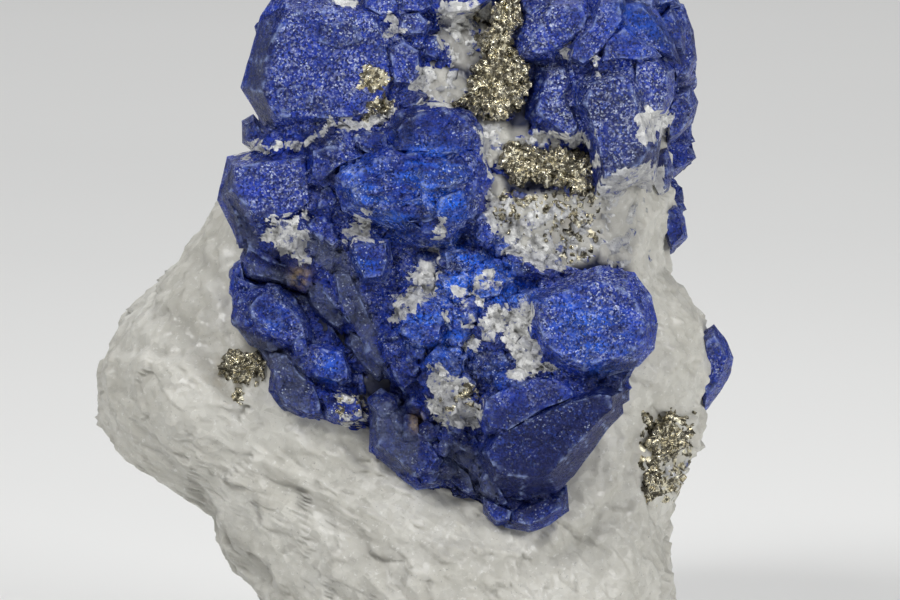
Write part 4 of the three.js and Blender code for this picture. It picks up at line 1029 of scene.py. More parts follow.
def with_back(cloud, front, loop):
    """A surface closed behind its loop of border points: by a narrower ring a little further back
    and a point deep in the marble."""
    middle = cloud.mean(0)
    ring = middle + (cloud[loop] - middle) * [0.93, 1, 0.93] + [0, 7, 0]
    inner = len(cloud) + np.arange(len(loop))
    after, inner_after = np.roll(loop, -1), np.roll(inner, -1)
    deep_point = 0 * inner + len(cloud) + len(loop)
    rear = [np.stack([loop, after, inner_after], -1), np.stack([loop, inner_after, inner], -1),
            np.stack([inner, inner_after, deep_point], -1)]
    return np.concatenate([cloud, ring, [middle + [0, 25, 0]]]), np.concatenate([front, *rear])


def fill_surface(deepest, first_down, last_down, seed=60):
    """The stone that fills the gaps between the crystals: the closed map of depths, sunk a little
    except under calcite, opened along the cracks and broken into facets. Its border dives in."""
    closed = closed_depths(deepest)
    table = np.array(CLUSTER_ROWS, float)
    downs = np.arange(first_down, last_down, FILL_SPACING)
    left, right = (np.interp(downs, table[:, 0], table[:, k])[:, None] for k in (1, 2))
    columns = round((table[:, 2] - table[:, 1]).max() / FILL_SPACING)
    part = np.linspace(0, 1, columns)[None]
    across, down = left + (right - left) * part, downs[:, None] + 0 * part
    depth = closed[squares_of(across, down)]
    to_side = np.minimum(across - left, right - across)
    to_end = np.minimum(down - table[0, 0], table[-1, 0] - down)
    border = np.clip(np.minimum(to_side, to_end) / 8, 0, 1)
    white = calcite_cover(across, down)
    depth = depth - FILL_SINK * (1 - np.clip(1.3 * white, 0, 1)) - 2.5 * (1 - border)
    for deep, reach, line in OPEN_CRACKS:
        depth -= deep * crease_depth(across, down, line, reach)
    cloud = place(across, down, depth).reshape(-1, 3)
    rows = len(downs)
    index = np.arange(rows * columns).reshape(rows, columns)
    a, b, c, d = index[:-1, :-1], index[:-1, 1:], index[1:, 1:], index[1:, :-1]
    front = np.concatenate([np.stack([a, d, c], -1), np.stack([a, c, b], -1)]).reshape(-1, 3)
    loop = np.concatenate([index[0, :-1], index[:-1, -1], index[-1, :0:-1], index[:0:-1, 0]])
    relief = facets(cloud, 2.6, 0.45, 0.26, seed) + facets(cloud, 1.1, 0.45, 0.10, seed + 4)
    return with_back(cloud + normals_of(cloud, front) * (relief * border.ravel())[:, None], front, loop)


def lined(across, down, lines):
    """How far thin seams cover drawing points."""
    return np.max([strength * crease_depth(across, down, line, reach)
                   for strength, reach, line in lines], axis=0)


def strewn(outline, count, deepest, sink, random):
    """Random places on the show side inside an outline, a little below the surface there."""
    corners = np.array(outline, float)
    tries = random.uniform(corners.min(0), corners.max(0), (count * 6, 2))
    across, down = tries[inside(outline, *tries.T)][:count].T
    depth = deepest[squares_of(across, down)]
    sound = depth > 0
    return place(across, down, depth - sink)[sound]


def block_template(cut=0.74, shear=0.0):
    """A block whose edges and corners are cut off: corners at plus or minus one on one axis and
    the cut on the others, leant over by the shear, with the faces of their hull."""
    corners = [[(1, cut, cut)[(k - axis) % 3] * sign[k] for k in range(3)]
               for axis in range(3) for sign in itertools.product((-1, 1), repeat=3)]
    points = np.array(corners, float)
    faces = []
    for one, two, three in itertools.combinations(range(24), 3):
        normal = np.cross(points[two] - points[one], points[three] - points[one])
        side = (points - points[one]) @ normal
        flat = np.nonzero(np.abs(side) < 1e-9)[0]
        if np.all(side < 1e-9) or np.all(side > -1e-9):
            if flat[0] == one and tuple(sorted((one, two, three))) == tuple(sorted(flat[:3])):
                faces += fan(points, flat, points[flat].mean(0))
    points[:, 0] += shear * points[:, 2]
    return points, np.array(faces)


def fan(points, flat, outwards):
    """Triangles of a flat convex face, its corners put in order round its middle."""
    first = points[flat[0]] - points[flat].mean(0)
    second = np.cross(outwards, first)
    spokes = points[flat] - points[flat].mean(0)
    order = flat[np.argsort(np.arctan2(spokes @ second, spokes @ first))]
    return [[order[0], order[k], order[k + 1]] for k in range(1, len(order) - 1)]


def blocks(centres, sizes, template, random):
    """Copies of a block, each stretched, turned by a random rotation and moved to its centre."""
    points, faces = template
    count = len(centres)
    stretch = sizes[:, None] * random.uniform(0.55, 1.45, (count, 3))
    turns = np.linalg.qr(random.normal(size=(count, 3, 3)))[0]
    turns[:, :, 0] *= np.sign(np.linalg.det(turns))[:, None]
    moved = np.einsum("nij,npj->npi", turns, points[None] * stretch[:, None]) + centres[:, None]
    starts = (np.arange(count) * len(points))[:, None, None]
    return moved.reshape(-1, 3), (faces[None] + starts).reshape(-1, 3)


def put_in(name, surface, material, nodes=()):
    """A mesh object from a painted surface, with its material, on the body, in the place of its
    nodes."""
    points, faces, paint, shade = surface
    mesh = bpy.data.meshes.new(name)
    mesh.vertices.add(len(points))
    mesh.vertices.foreach_set("co", (points * MILLIMETRE).astype(np.float32).ravel())
    mesh.loops.add(faces.size)
    mesh.loops.foreach_set("vertex_index", faces.astype(np.int32).ravel())
    mesh.polygons.add(len(faces))
    mesh.polygons.foreach_set("loop_start", np.arange(0, faces.size, 3, dtype=np.int32))
    mesh.update(calc_edges=True)
    for title, values in (("paint", paint), ("shade", shade)):
        layer = mesh.attributes.new(title, "FLOAT_COLOR", "POINT")
        layer.data.foreach_set("color", values.astype(np.float32).ravel())
    mesh.materials.append(material)
    made = bpy.data.objects.new(name, mesh)
    bpy.context.scene.collection.objects.link(made)
    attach(made, "root")
    if nodes:
        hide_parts(*nodes)


def calcite_cover(across, down):
    """How far calcite covers drawing points, from its outlines and its seams."""
    patches = covered(across, down, CALCITE_OUTLINES)
    return np.maximum(patches, lined(across, down, CALCITE_LINES))


def grained(points, cover, size, seed, threshold, spread):
    """A cover that goes by whole grains: each takes the cover at its middle, and shows it where
    that is more than a threshold that differs from grain to grain."""
    middle, chance = grain_of(points, size, seed)
    across, down, _ = drawn_at(middle)
    return np.clip(0.5 + 4 * (cover(across, down) - threshold - spread * chance), 0, 1)


def pyrite_cover(across, down):
    """How far pyrite covers drawing points, outside its own masses."""
    return covered(across, down, PYRITE_OUTLINES)


def painted(points, faces, wear=0.0, shade=0.5):
    """A surface with its paint, which comes from the drawing, on the side that the eye sees. First: grey (an
    ashen film with painted grey sheen) to azure, painted shade, frost with painted sheen, and calcite. Then:
    edge wear (on the marble, painted shade in its creases), shade of the piece (on the marble, painted shade
    where it lies under the crystals), rust and pyrite."""
    across, down, depth = drawn_at(points)
    seen = np.clip((depth + 2) / 4, 0, 1)
    calcite = grained(points, calcite_cover, CALCITE_SPOT, 31, 0.28, 0.34)
    pyrite = grained(points, pyrite_cover, PYRITE_SPOT, 41, 0.12, 0.8)
    # Painted shade, and frost with painted sheen, on single faces and in spots
    painted_shade = spots(across, down, PAINTED_SHADE_SPOTS) + covered(across, down, PAINTED_SHADE_OUTLINES, FACE_BORDER)
    frost_and_sheen = spots(across, down, FROST_AND_SHEEN_SPOTS) + covered(across, down, FROST_AND_SHEEN_OUTLINES, FACE_BORDER)
    azure = np.clip(spots(across, down, AZURE_SPOTS), 0, 1)
    hue = 0.5 + 0.5 * seen * (azure - covered(across, down, GREY_FILM_AND_SHEEN_OUTLINES, FACE_BORDER))
    rust = spots(across, down, RUST_SPOTS)
    first = np.broadcast_arrays(hue, seen * painted_shade, seen * frost_and_sheen, seen * calcite)
    second = np.broadcast_arrays(wear, shade, seen * rust, seen * pyrite)
    return points, faces, *(np.clip(np.stack(part, -1), 0, 1) for part in (first, second))


# Materials

class Look:
    """Short ways to add shader nodes to one material and link them up."""

    def __init__(self, name):
        self.material = bpy.data.materials.new(name)
        self.material.use_nodes = True
        self.tree = self.material.node_tree
        self.shader = self.tree.nodes["Principled BSDF"]
        self.place = self.tree.nodes.new("ShaderNodeTexCoord").outputs["Object"]
        self.facing = self.tree.nodes.new("ShaderNodeNewGeometry").outputs["Normal"]

    def link(self, value, socket):
        """A link from an output, or a plain value set on the socket."""
        if isinstance(value, bpy.types.NodeSocket):
            self.tree.links.new(value, socket)
        else:
            socket.default_value = value

    def attribute(self, name, part):
        """One of the four numbers of a painted attribute, by its place."""
        node = self.tree.nodes.new("ShaderNodeAttribute")
        node.attribute_name = name
        return node.outputs["Alpha"] if part == 3 else self.part_of(node.outputs["Color"], part)

    def part_of(self, value, part):
        """One of the three numbers of a colour."""
        split = self.tree.nodes.new("ShaderNodeSeparateColor")
        self.link(value, split.inputs[0])
        return split.outputs[part]

    def math(self, kind, first, second=0.0, clamp=False):
        """A sum, product or other function of two values."""
        node = self.tree.nodes.new("ShaderNodeMath")
        node.operation = kind
        node.use_clamp = clamp
        self.link(first, node.inputs[0])
        self.link(second, node.inputs[1])
        return node.outputs[0]

    def vector(self, kind, first, second=None, scale=None):
        """A sum or other function of two vectors, or one vector scaled."""
        node = self.tree.nodes.new("ShaderNodeVectorMath")
        node.operation = kind
        self.link(first, node.inputs[0])
        if second is not None:
            self.link(second, node.inputs[1])
        if scale is not None:
            self.link(scale, node.inputs["Scale"])
        return node.outputs[0]

    def noise(self, size, detail=3.0, rough=0.5, stretch=(1, 1, 1)):
        """Noise with waves of a size in millimetres, from 0 to 1."""
        node = self.tree.nodes.new("ShaderNodeTexNoise")
        self.link(self.vector("MULTIPLY", self.place, stretch), node.inputs["Vector"])
        node.inputs["Scale"].default_value = 1 / (size * MILLIMETRE)
        node.inputs["Detail"].default_value = detail
        node.inputs["Roughness"].default_value = rough
        return node.outputs[0]

    def cells(self, size, output="Color"):
        """Random grains of a size in millimetres: a random colour for each, or the distance."""
        node = self.tree.nodes.new("ShaderNodeTexVoronoi")
        self.link(self.place, node.inputs["Vector"])
        node.inputs["Scale"].default_value = 1 / (size * MILLIMETRE)
        return node.outputs[output]

    def ramp(self, value, low, high, start=0.0, end=1.0):
        """A value moved from the range low..high to start..end, held at the ends."""
        node = self.tree.nodes.new("ShaderNodeMapRange")
        self.link(value, node.inputs["Value"])
        for number, socket in ((low, "From Min"), (high, "From Max"), (start, "To Min"), (end, "To Max")):
            self.link(number, node.inputs[socket])
        return node.outputs[0]

    def speckled(self, cover, size, ragged=1.2):
        """A cover broken up by noise: none at 0, speckles between, whole at 1."""
        uneven = self.math("MULTIPLY", self.math("SUBTRACT", self.noise(size, 4, 0.65), 0.5), ragged)
        return self.ramp(self.math("ADD", cover, uneven), 0.44, 0.56)

    def mix(self, part, first, second):
        """A blend of two colours."""
        node = self.tree.nodes.new("ShaderNodeMix")
        node.data_type = "RGBA"
        self.link(part, node.inputs[0])
        self.link(first, node.inputs[6])
        self.link(second, node.inputs[7])
        return node.outputs[2]

    def blend(self, part, first, second):
        """A blend of two values."""
        node = self.tree.nodes.new("ShaderNodeMix")
        self.link(part, node.inputs[0])
        self.link(first, node.inputs[2])
        self.link(second, node.inputs[3])
        return node.outputs[0]

    def glitter(self, grains, amount, under=None):
        """Each grain tilts the surface its own way, by its random colour."""
        tilt = self.vector("SUBTRACT", grains, (0.5, 0.5, 0.5))
        tilt = self.vector("SCALE", tilt, scale=amount)
        return self.vector("NORMALIZE", self.vector("ADD", under or self.facing, tilt))

    def bump(self, height, distance, strength=1.0, under=None):
        """A bump of a height in millimetres, over another bump."""
        node = self.tree.nodes.new("ShaderNodeBump")
        node.inputs["Distance"].default_value = distance * MILLIMETRE
        self.link(strength, node.inputs["Strength"])
        self.link(height, node.inputs["Height"])
        if under:
            self.link(under, node.inputs["Normal"])
        return node.outputs[0]

    def finish(self, **values):
        """The shader's inputs by name."""
        for name, value in values.items():
            self.link(value, self.shader.inputs[name.replace("_", " ")])
        return self.material


def colour(red, green, blue):
    """A colour with full cover."""
    return (red, green, blue, 1.0)


# Colours of the blue stone
NAVY = colour(0.005, 0.011, 0.095)
ULTRAMARINE = colour(0.009, 0.040, 0.46)
AZURE = colour(0.012, 0.16, 0.95)
LIGHT_GRAINS = colour(0.04, 0.10, 0.52)
DARK_GRAINS = colour(0.003, 0.006, 0.05)
LEDGE_SHADOW = colour(0.004, 0.006, 0.04)
# Ashen film, partly a painted grey sheen
ASHEN_FILM_AND_SHEEN = colour(0.085, 0.098, 0.145)
# Pale dust, partly painted sheen
PALE_DUST_AND_SHEEN = colour(0.76, 0.82, 1.0)
# Painted glints
PAINTED_GLINTS = colour(0.72, 0.82, 1.0)
SCRATCHES = colour(0.10, 0.22, 0.70)
WORN_EDGES = colour(0.36, 0.46, 0.80)
RUSTY_STAIN = colour(0.40, 0.29, 0.15)
# Colours of the calcite
CALCITE_GREY, CALCITE_WHITE = colour(0.48, 0.48, 0.47), colour(0.92, 0.92, 0.90)
CALCITE_CLOUDS = colour(0.27, 0.28, 0.33)
CALCITE_FILM = colour(0.24, 0.25, 0.28)
# Painted shade of the calcite
CALCITE_PAINTED_SHADE = colour(0.20, 0.20, 0.21)
CALCITE_BLUE = colour(0.04, 0.07, 0.30)
# Colours of the pyrite
DULL_BRASS, PALE_BRASS = colour(0.45, 0.39, 0.24), colour(1.0, 0.96, 0.78)
BROWN_FILM = colour(0.03, 0.024, 0.014)
# Colours of the marble
MARBLE_GREY, MARBLE_WHITE = colour(0.56, 0.55, 0.505), colour(0.67, 0.66, 0.61)
MARBLE_CLOUDS = colour(0.47, 0.455, 0.40)
MARBLE_FILM = colour(0.40, 0.39, 0.35)
# Painted shade in the creases of the marble
MARBLE_CREASE_SHADE = colour(0.36, 0.35, 0.32)
MARBLE_SPECKS = colour(0.22, 0.22, 0.22)
MARBLE_FROST = colour(0.80, 0.80, 0.77)
MARBLE_RUST = colour(0.34, 0.27, 0.17)
# Painted near-black shade of the marble under the crystals
MARBLE_SHADE_UNDER_CRYSTALS = colour(0.012, 0.016, 0.045)
# How the ledges of broken crystals are drawn out along their height
LEDGE_STRETCH = (0.8, 0.8, 1.7)


def stone_tone(look, painted_shade, shade):
    """How light the blue is, from 0 to 1: in clouds, by the piece's own shade, and less where shade is
    painted.
    """
    clouds = look.ramp(look.noise(6.5, 4, 0.55), 0.34, 0.66, 0, 0.6)
    tone = look.math("ADD", clouds, look.math("MULTIPLY", shade, 0.4))
    return look.math("SUBTRACT", tone, look.math("MULTIPLY", painted_shade, 0.8), True)


def dust_and_sheen_cover(look, grains, painted_shade, frost_and_sheen, shade):
    """How much pale dust and painted sheen each grain carries: dust in patches and more on light pieces,
    painted sheen on frosted faces that catch the light, less where shade is painted."""
    fine = look.ramp(look.part_of(grains, 0), 0.42, 0.86)
    fine = look.math("MULTIPLY", fine, look.ramp(look.noise(0.45, 5, 0.75), 0.40, 0.60))
    patches = look.ramp(look.noise(4.0, 5, 0.65), 0.40, 0.62, 0.0, 0.6)
    dust_and_sheen = look.math("ADD", look.math("MULTIPLY", patches, look.ramp(shade, 0, 1, 0.5, 1.3)), frost_and_sheen)
    dust_and_sheen = look.math("SUBTRACT", dust_and_sheen, look.math("MULTIPLY", painted_shade, 0.8), True)
    return look.math("MULTIPLY", fine, dust_and_sheen, True)


def painted_glint_mask(look, painted_shade):
    """Painted glints: single bright specks that stand in for light glinting off the grains, gathered in
    patches and weak where shade is painted.
    """
    bright = look.ramp(look.part_of(look.cells(GLINT_GRAIN), 0), 0.90, 0.96)
    bright = look.math("MULTIPLY", bright, look.ramp(look.noise(2.2, 5, 0.7), 0.46, 0.60))
    return look.math("MULTIPLY", bright, look.ramp(painted_shade, 0, 0.8, 0.6, 0.12))


def lazurite_colour(look):
    """Navy where the tone is low and where shade is painted, ultramarine faces, azure streaks where light
    comes through, pale dust with painted sheen, light and dark grains, painted shadows of fine ledges, ashen
    films with painted grey sheen, painted glints, scratches and worn edges."""
    hue, painted_shade, frost_and_sheen = (look.attribute("paint", k) for k in range(3))
    azure, grey_film_and_sheen = look.ramp(hue, 0.5, 1.0), look.ramp(hue, 0.0, 0.5, 1.0, 0.0)
    wear, shade = look.attribute("shade", 0), look.attribute("shade", 1)
    grains = look.cells(LAZURITE_GRAIN)
    # Navy where the tone is low, which includes where shade is painted
    body = look.mix(stone_tone(look, painted_shade, shade), NAVY, ULTRAMARINE)
    streaks = look.ramp(look.noise(2.6, 5, 0.6, (0.5, 0.5, 1.8)), 0.38, 0.62)
    glow = look.math("MULTIPLY", look.math("MULTIPLY", azure, 1.4), streaks, True)
    body = look.mix(glow, body, AZURE)
    # Pale dust, with painted sheen on the frosted faces
    body = look.mix(dust_and_sheen_cover(look, grains, painted_shade, frost_and_sheen, shade), body, PALE_DUST_AND_SHEEN)
    lighter = look.ramp(look.part_of(grains, 1), 0.6, 1.0, 0.0, 0.6)
    lighter = look.math("MULTIPLY", lighter, look.ramp(painted_shade, 0, 0.8, 1, 0.2))
    body = look.mix(lighter, body, LIGHT_GRAINS)
    body = look.mix(look.ramp(look.part_of(grains, 2), 0.0, 0.5, 0.9, 0.0), body, DARK_GRAINS)
    ledges = look.ramp(look.noise(1.9, 6, 0.65, LEDGE_STRETCH), 0.40, 0.55, 0.5, 0.0)
    body = look.mix(ledges, body, LEDGE_SHADOW)
    # Ashen film with a painted grey sheen
    ashen_and_sheen = look.math("MULTIPLY", grey_film_and_sheen, look.ramp(look.noise(1.0, 5, 0.7), 0.3, 0.7, 0.4, 0.95))
    body = look.mix(ashen_and_sheen, body, ASHEN_FILM_AND_SHEEN)
    # Painted glints
    body = look.mix(painted_glint_mask(look, painted_shade), body, PAINTED_GLINTS)
    scratches = look.ramp(look.noise(0.7, 3, 0.6, (3.0, 3.0, 0.5)), 0.60, 0.72)
    body = look.mix(look.math("MULTIPLY", scratches, 0.2), body, SCRATCHES)
    edge = look.math("MULTIPLY", wear, look.ramp(look.noise(1.2, 4), 0.48, 0.62), True)
    return look.mix(look.math("MULTIPLY", edge, 0.55), body, WORN_EDGES), grains


def calcite_colour(look, grains):
    """White and grey grains with grey clouds and films, a few blue grains, and painted shade where the shade
    of the blue stone is painted."""
    body = look.mix(look.part_of(grains, 1), CALCITE_GREY, CALCITE_WHITE)
    clouds = look.ramp(look.noise(3.6, 5, 0.6), 0.44, 0.64, 0, 0.6)
    body = look.mix(clouds, body, CALCITE_CLOUDS)
    film = look.ramp(look.noise(1.3, 5, 0.7), 0.53, 0.61, 0, 0.75)
    body = look.mix(film, body, CALCITE_FILM)
    # Painted shade of the calcite, where shade is painted on the blue stone
    dull = look.math("MULTIPLY", look.attribute("paint", 1), 0.8)
    body = look.mix(dull, body, CALCITE_PAINTED_SHADE)
    bluish = look.ramp(look.noise(1.3, 4, 0.65), 0.58, 0.66, 0, 0.8)
    return look.mix(bluish, body, CALCITE_BLUE)


def pyrite_colour(look, grains):
    """Pale brass with dull brown films between the bright grains, and where the films are."""
    body = look.mix(look.part_of(grains, 1), DULL_BRASS, PALE_BRASS)
    dull = look.ramp(look.noise(0.8, 5, 0.75), 0.46, 0.54)
    return look.mix(look.math("MULTIPLY", dull, 0.92), body, BROWN_FILM), dull


def lazurite_look():
    """The blue stone of the crystals and of the fill between them, with calcite and pyrite laid
    over it where they are painted."""
    look = Look("lazurite")
    body, fine_grains = lazurite_colour(look)
    uneven = look.ramp(look.noise(1.1, 3), 0.36, 0.56)
    stain = look.math("MULTIPLY", look.attribute("shade", 2), uneven, True)
    body = look.mix(stain, body, RUSTY_STAIN)
    grains = look.cells(CALCITE_GRAIN)
    calcite = look.speckled(look.attribute("paint", 3), 0.9, 0.7)
    brass = look.speckled(look.attribute("shade", 3), 0.8)
    metal_colour, dull = pyrite_colour(look, grains)
    body = look.mix(calcite, body, calcite_colour(look, grains))
    body = look.mix(brass, body, metal_colour)
    rough = look.ramp(look.part_of(fine_grains, 1), 0, 1, 0.22, 0.50)
    rough = look.blend(calcite, rough, look.ramp(look.part_of(grains, 2), 0, 1, 0.20, 0.60))
    rough = look.blend(brass, rough, 0.28)
    tilt = look.blend(look.math("MAXIMUM", calcite, brass), 0.34, 0.55)
    normal = look.glitter(fine_grains, 0.65)
    normal = look.glitter(grains, look.math("SUBTRACT", tilt, 0.26), normal)
    normal = look.bump(look.noise(0.7, 5, 0.65), 0.14, 0.8, normal)
    normal = look.bump(look.noise(1.9, 6, 0.65, LEDGE_STRETCH), 0.55, 0.8, normal)
    metal = look.math("MULTIPLY", brass, look.ramp(dull, 0, 1, 1.0, 0.3))
    return look.finish(Base_Color=body, Roughness=rough, Normal=normal, Metallic=metal, IOR=1.5,
                       Specular_IOR_Level=0.27)


def marble_look():
    """Sugary marble: warm white grains of slightly different greys and tilts, painted grey shade in the
    creases, painted near-black shade where it lies under the crystals, light that goes a little way in, and
    rusty stains beside the pyrite."""
    look = Look("marble")
    crease_shade, rust = look.attribute("shade", 0), look.attribute("shade", 2)
    grains = look.cells(MARBLE_GRAIN)
    body = look.mix(look.part_of(grains, 0), MARBLE_GREY, MARBLE_WHITE)
    clouds = look.ramp(look.noise(9, 5, 0.6), 0.36, 0.64)
    body = look.mix(look.math("MULTIPLY", clouds, 0.6), body, MARBLE_CLOUDS)
    film = look.ramp(look.noise(2.6, 5, 0.65), 0.54, 0.66, 0, 0.3)
    body = look.mix(film, body, MARBLE_FILM)
    # Painted shade in the creases
    body = look.mix(look.math("MULTIPLY", crease_shade, 0.6), body, MARBLE_CREASE_SHADE)
    specks = look.ramp(look.noise(0.45, 4, 0.7), 0.64, 0.68, 0, 0.6)
    body = look.mix(specks, body, MARBLE_SPECKS)
    white = look.ramp(look.noise(0.8, 4, 0.7), 0.60, 0.66, 0, 0.5)
    body = look.mix(white, body, MARBLE_FROST)
    brown = look.math("MULTIPLY", rust, look.ramp(look.noise(1.8, 4, 0.6), 0.45, 0.62), True)
    body = look.mix(brown, body, MARBLE_RUST)
    brass = look.speckled(look.attribute("shade", 3), 0.8)
    body = look.mix(brass, body, pyrite_colour(look, grains)[0])
    # Painted near-black shade where the marble lies under the crystals
    body = look.mix(look.attribute("shade", 1), body, MARBLE_SHADE_UNDER_CRYSTALS)
    rough = look.ramp(look.part_of(grains, 1), 0, 1, 0.30, 0.62)
    normal = look.glitter(grains, 0.16)
    normal = look.bump(look.cells(MARBLE_GRAIN, "Distance"), 0.14, 0.4, normal)
    normal = look.bump(look.noise(0.9, 4, 0.6), 0.08, 0.8, normal)
    return look.finish(Base_Color=body, Roughness=rough, Normal=normal, IOR=1.5, Metallic=brass,
                       Subsurface_Weight=0.3, Subsurface_Radius=(1.0, 0.95, 0.85),
                       Subsurface_Scale=0.002)


def pyrite_look():
    """Granular pyrite: bright facets of pale brass, tilted every way, with dull gaps."""
    look = Look("pyrite")
    grains = look.cells(PYRITE_GRAIN)
    body, dull = pyrite_colour(look, grains)
    rough = look.ramp(look.part_of(grains, 2), 0, 1, 0.08, 0.30)
    normal = look.glitter(grains, 1.0)
    normal = look.bump(look.noise(0.4, 4, 0.65), 0.12, 0.9, normal)
    metal = look.ramp(dull, 0, 1, 1.0, 0.35)
    return look.finish(Base_Color=body, Metallic=metal, Roughness=rough, Normal=normal)


def floor_look():
    """A matt pale floor with the faintest unevenness."""
    look = Look("floor")
    body = look.mix(look.noise(260, 2), colour(0.78, 0.78, 0.77), colour(0.81, 0.81, 0.80))
    return look.finish(Base_Color=body, Roughness=0.85)


LAZURITE = lazurite_look()
MARBLE = marble_look()
PYRITE = pyrite_look()


# Marble

def marble_matrix():
    """The lump, how much painted shade its creases get, and where it lies under the crystals, which gets
    painted shade too.
    """
    points, faces = marble_surface()
    across, down, depth = drawn_at(points)
    # Painted shade in the creases of the show side
    crease_shade = sum(0.5 * crease_depth(across, down, line, width)
                 for line, _, width in MARBLE_CREASES)
    # Painted shade: the marble under the blue cluster goes near-black, so that the gaps between the crystals
    # read dark
    table = np.array(CLUSTER_ROWS, float)
    left, right = (np.interp(down, table[:, 0], table[:, k]) for k in (1, 2))
    under = np.clip(np.minimum(across - left, right - across) / 8 - 2.5, 0, 1)
    under *= (depth > 0) * np.clip((table[-1, 0] - down) / 8 - 1, 0, 1)
    under *= 1 - covered(across, down, CALCITE_OUTLINES)
    return points, faces, np.clip(depth / 4, 0, 1) * crease_shade, under


lump = marble_matrix()
put_in("marble_lump", painted(*lump), MARBLE, ["marble_matrix"])

# Crystals: name, the nodes that they stand for, rows, how they are made, how broken they are from
# 0 to 1, and the spacing of the mesh
CRYSTALS = [
    ("crystal_ground", ["central_crystals"], CENTRAL_GROUND, crystal_surface, 0.9, 0.6),
    ("left_blocks", ["central_crystals"], LEFT_BLOCKS, crystal_surface, 0.10, FINE),
    ("main_crystal", ["central_crystals"], MAIN_CRYSTAL, crystal_surface, 0.42, FINE),
    ("broken_crystals", ["central_crystals"], BROKEN_CRYSTALS, crystal_surface, 0.7, FINE),
    ("right_crystal", ["central_crystals"], RIGHT_CRYSTAL, crystal_surface, 0.05, FINE),
    ("lower_crystal", ["central_crystals"], LOWER_CRYSTAL, crystal_surface, 0.05, FINE),
    ("upper_left_group", ["upper_left_crystals"], UPPER_LEFT, crystal_surface, 0.06, 0.34),
    ("upper_right_group", ["upper_right_crystals_%d" % k for k in (1, 2, 3, 4)], UPPER_RIGHT,
     crystal_surface, 0.07, 0.38),
    ("lower_left_group", ["lower_left_crystals"], LOWER_LEFT, crystal_surface, 0.4, 0.34),
    ("lower_middle_group", ["lower_middle_crystals"], LOWER_MIDDLE, crystal_surface, 0.25, FINE),
    ("left_edge_group", ["left_edge_crystal"], LEFT_EDGE, crystal_surface, 0.08, FINE),
    ("right_edge_group", ["right_edge_crystal"], RIGHT_EDGE, crystal_surface, 0.08, FINE),
    ("right_small_group", ["right_small_crystal"], RIGHT_SMALL, crystal_surface, 0.08, FINE),
    ("top_group", ["top_crystals_1", "top_crystals_2"], TOP_CROWN, turned_surface, 0.45, COARSE),
    ("back_upper_group", ["back_upper_crystals_1", "back_upper_crystals_2"], BACK_UPPER,
     turned_surface, 0.45, COARSE),
    ("right_side_group", ["right_side_crystals"], RIGHT_SIDE, turned_surface, 0.45, COARSE),
    ("back_low_group", ["back_low_crystals"], BACK_LOW, turned_surface, 0.45, COARSE),
    ("back_right_group", ["back_right_crystal"], BACK_RIGHT, turned_surface, 0.45, COARSE),
]
clouds = []
for number, (name, nodes, rows, make, broken, spacing) in enumerate(CRYSTALS):
    stone = crystal_stone(rows, make, broken, spacing, 100 + 20 * number)
    clouds.append(stone[0])
    put_in(name, painted(*stone), LAZURITE, nodes)


# Pyrite masses

def granular_mass(rows, size, seed):
    """Domes whose surface is broken into the facets of grains of two sizes."""
    parts = []
    for row in rows:
        points, faces, wear = dome_surface(row)
        faces = facing_out(points, faces)
        height = facets(points, size, 0.8, 0.30 * size, seed)
        height += facets(points, 2.4 * size, 0.4, 0.20 * size, seed + 4)
        moved = wandered(points + normals_of(points, faces) * height[:, None], 0.5, 3.4, seed + 8)
        parts.append((moved, faces, 0 * wear, 0 * wear))
    return joined(parts)


PYRITE_MASSES = [("pyrite_upper", PYRITE_UPPER), ("pyrite_middle", PYRITE_MIDDLE),
                 ("pyrite_left", PYRITE_LEFT), ("pyrite_right", PYRITE_RIGHT),
                 ("pyrite_lower", PYRITE_LOWER)]
for number, (node, rows) in enumerate(PYRITE_MASSES):
    mass = granular_mass(rows, 0.9, 700 + 20 * number)
    put_in(node + "_mass", painted(*mass), PYRITE, [node])

# The fill between the crystals, in an upper and a lower half
calcite_masses = [granular_mass(rows, 1.5, 900)[0]
                  for rows in (CALCITE_SEAM, CALCITE_LEFT, CALCITE_CENTRE, CALCITE_LOWER)]
deepest = show_depths(clouds + calcite_masses + [lump[0]])
FILLS = [("upper_fill", -48, 226, ("calcite_seam", "calcite_left")),
         ("lower_fill", 222, 522, ("calcite_centre", "calcite_lower"))]
for name, first_down, last_down, nodes in FILLS:
    fill = fill_surface(deepest, first_down, last_down)
    clouds.append(fill[0])
    put_in(name, painted(*fill), LAZURITE, nodes)

# Small pieces strewn over the show side, as outline, count, smallest and largest half size
deepest = show_depths(clouds + [lump[0]])
random = np.random.default_rng(8)
BLOCK = block_template()
RHOMB = block_template(0.86, 0.35)
PYRITE_GRAINS = [
    ([[500, 188], [600, 186], [600, 228], [592, 262], [560, 262], [500, 240]], 60, 0.15, 0.4),
    ([[219, 352], [266, 350], [266, 384], [240, 392], [222, 380]], 24, 0.3, 0.6),
    ([[646, 420], [664, 412], [692, 430], [690, 480], [664, 502], [644, 470]], 30, 0.3, 0.7),
    ([[358, 80], [372, 65], [392, 80], [376, 90], [364, 85]], 16, 0.25, 0.5),
    ([[372, 98], [394, 105], [385, 112], [355, 125], [366, 115]], 16, 0.25, 0.5),
    ([[228, 392], [242, 390], [244, 404], [230, 404]], 8, 0.2, 0.45),
    ([[335, 395], [365, 395], [365, 425], [335, 425]], 10, 0.12, 0.3),
]
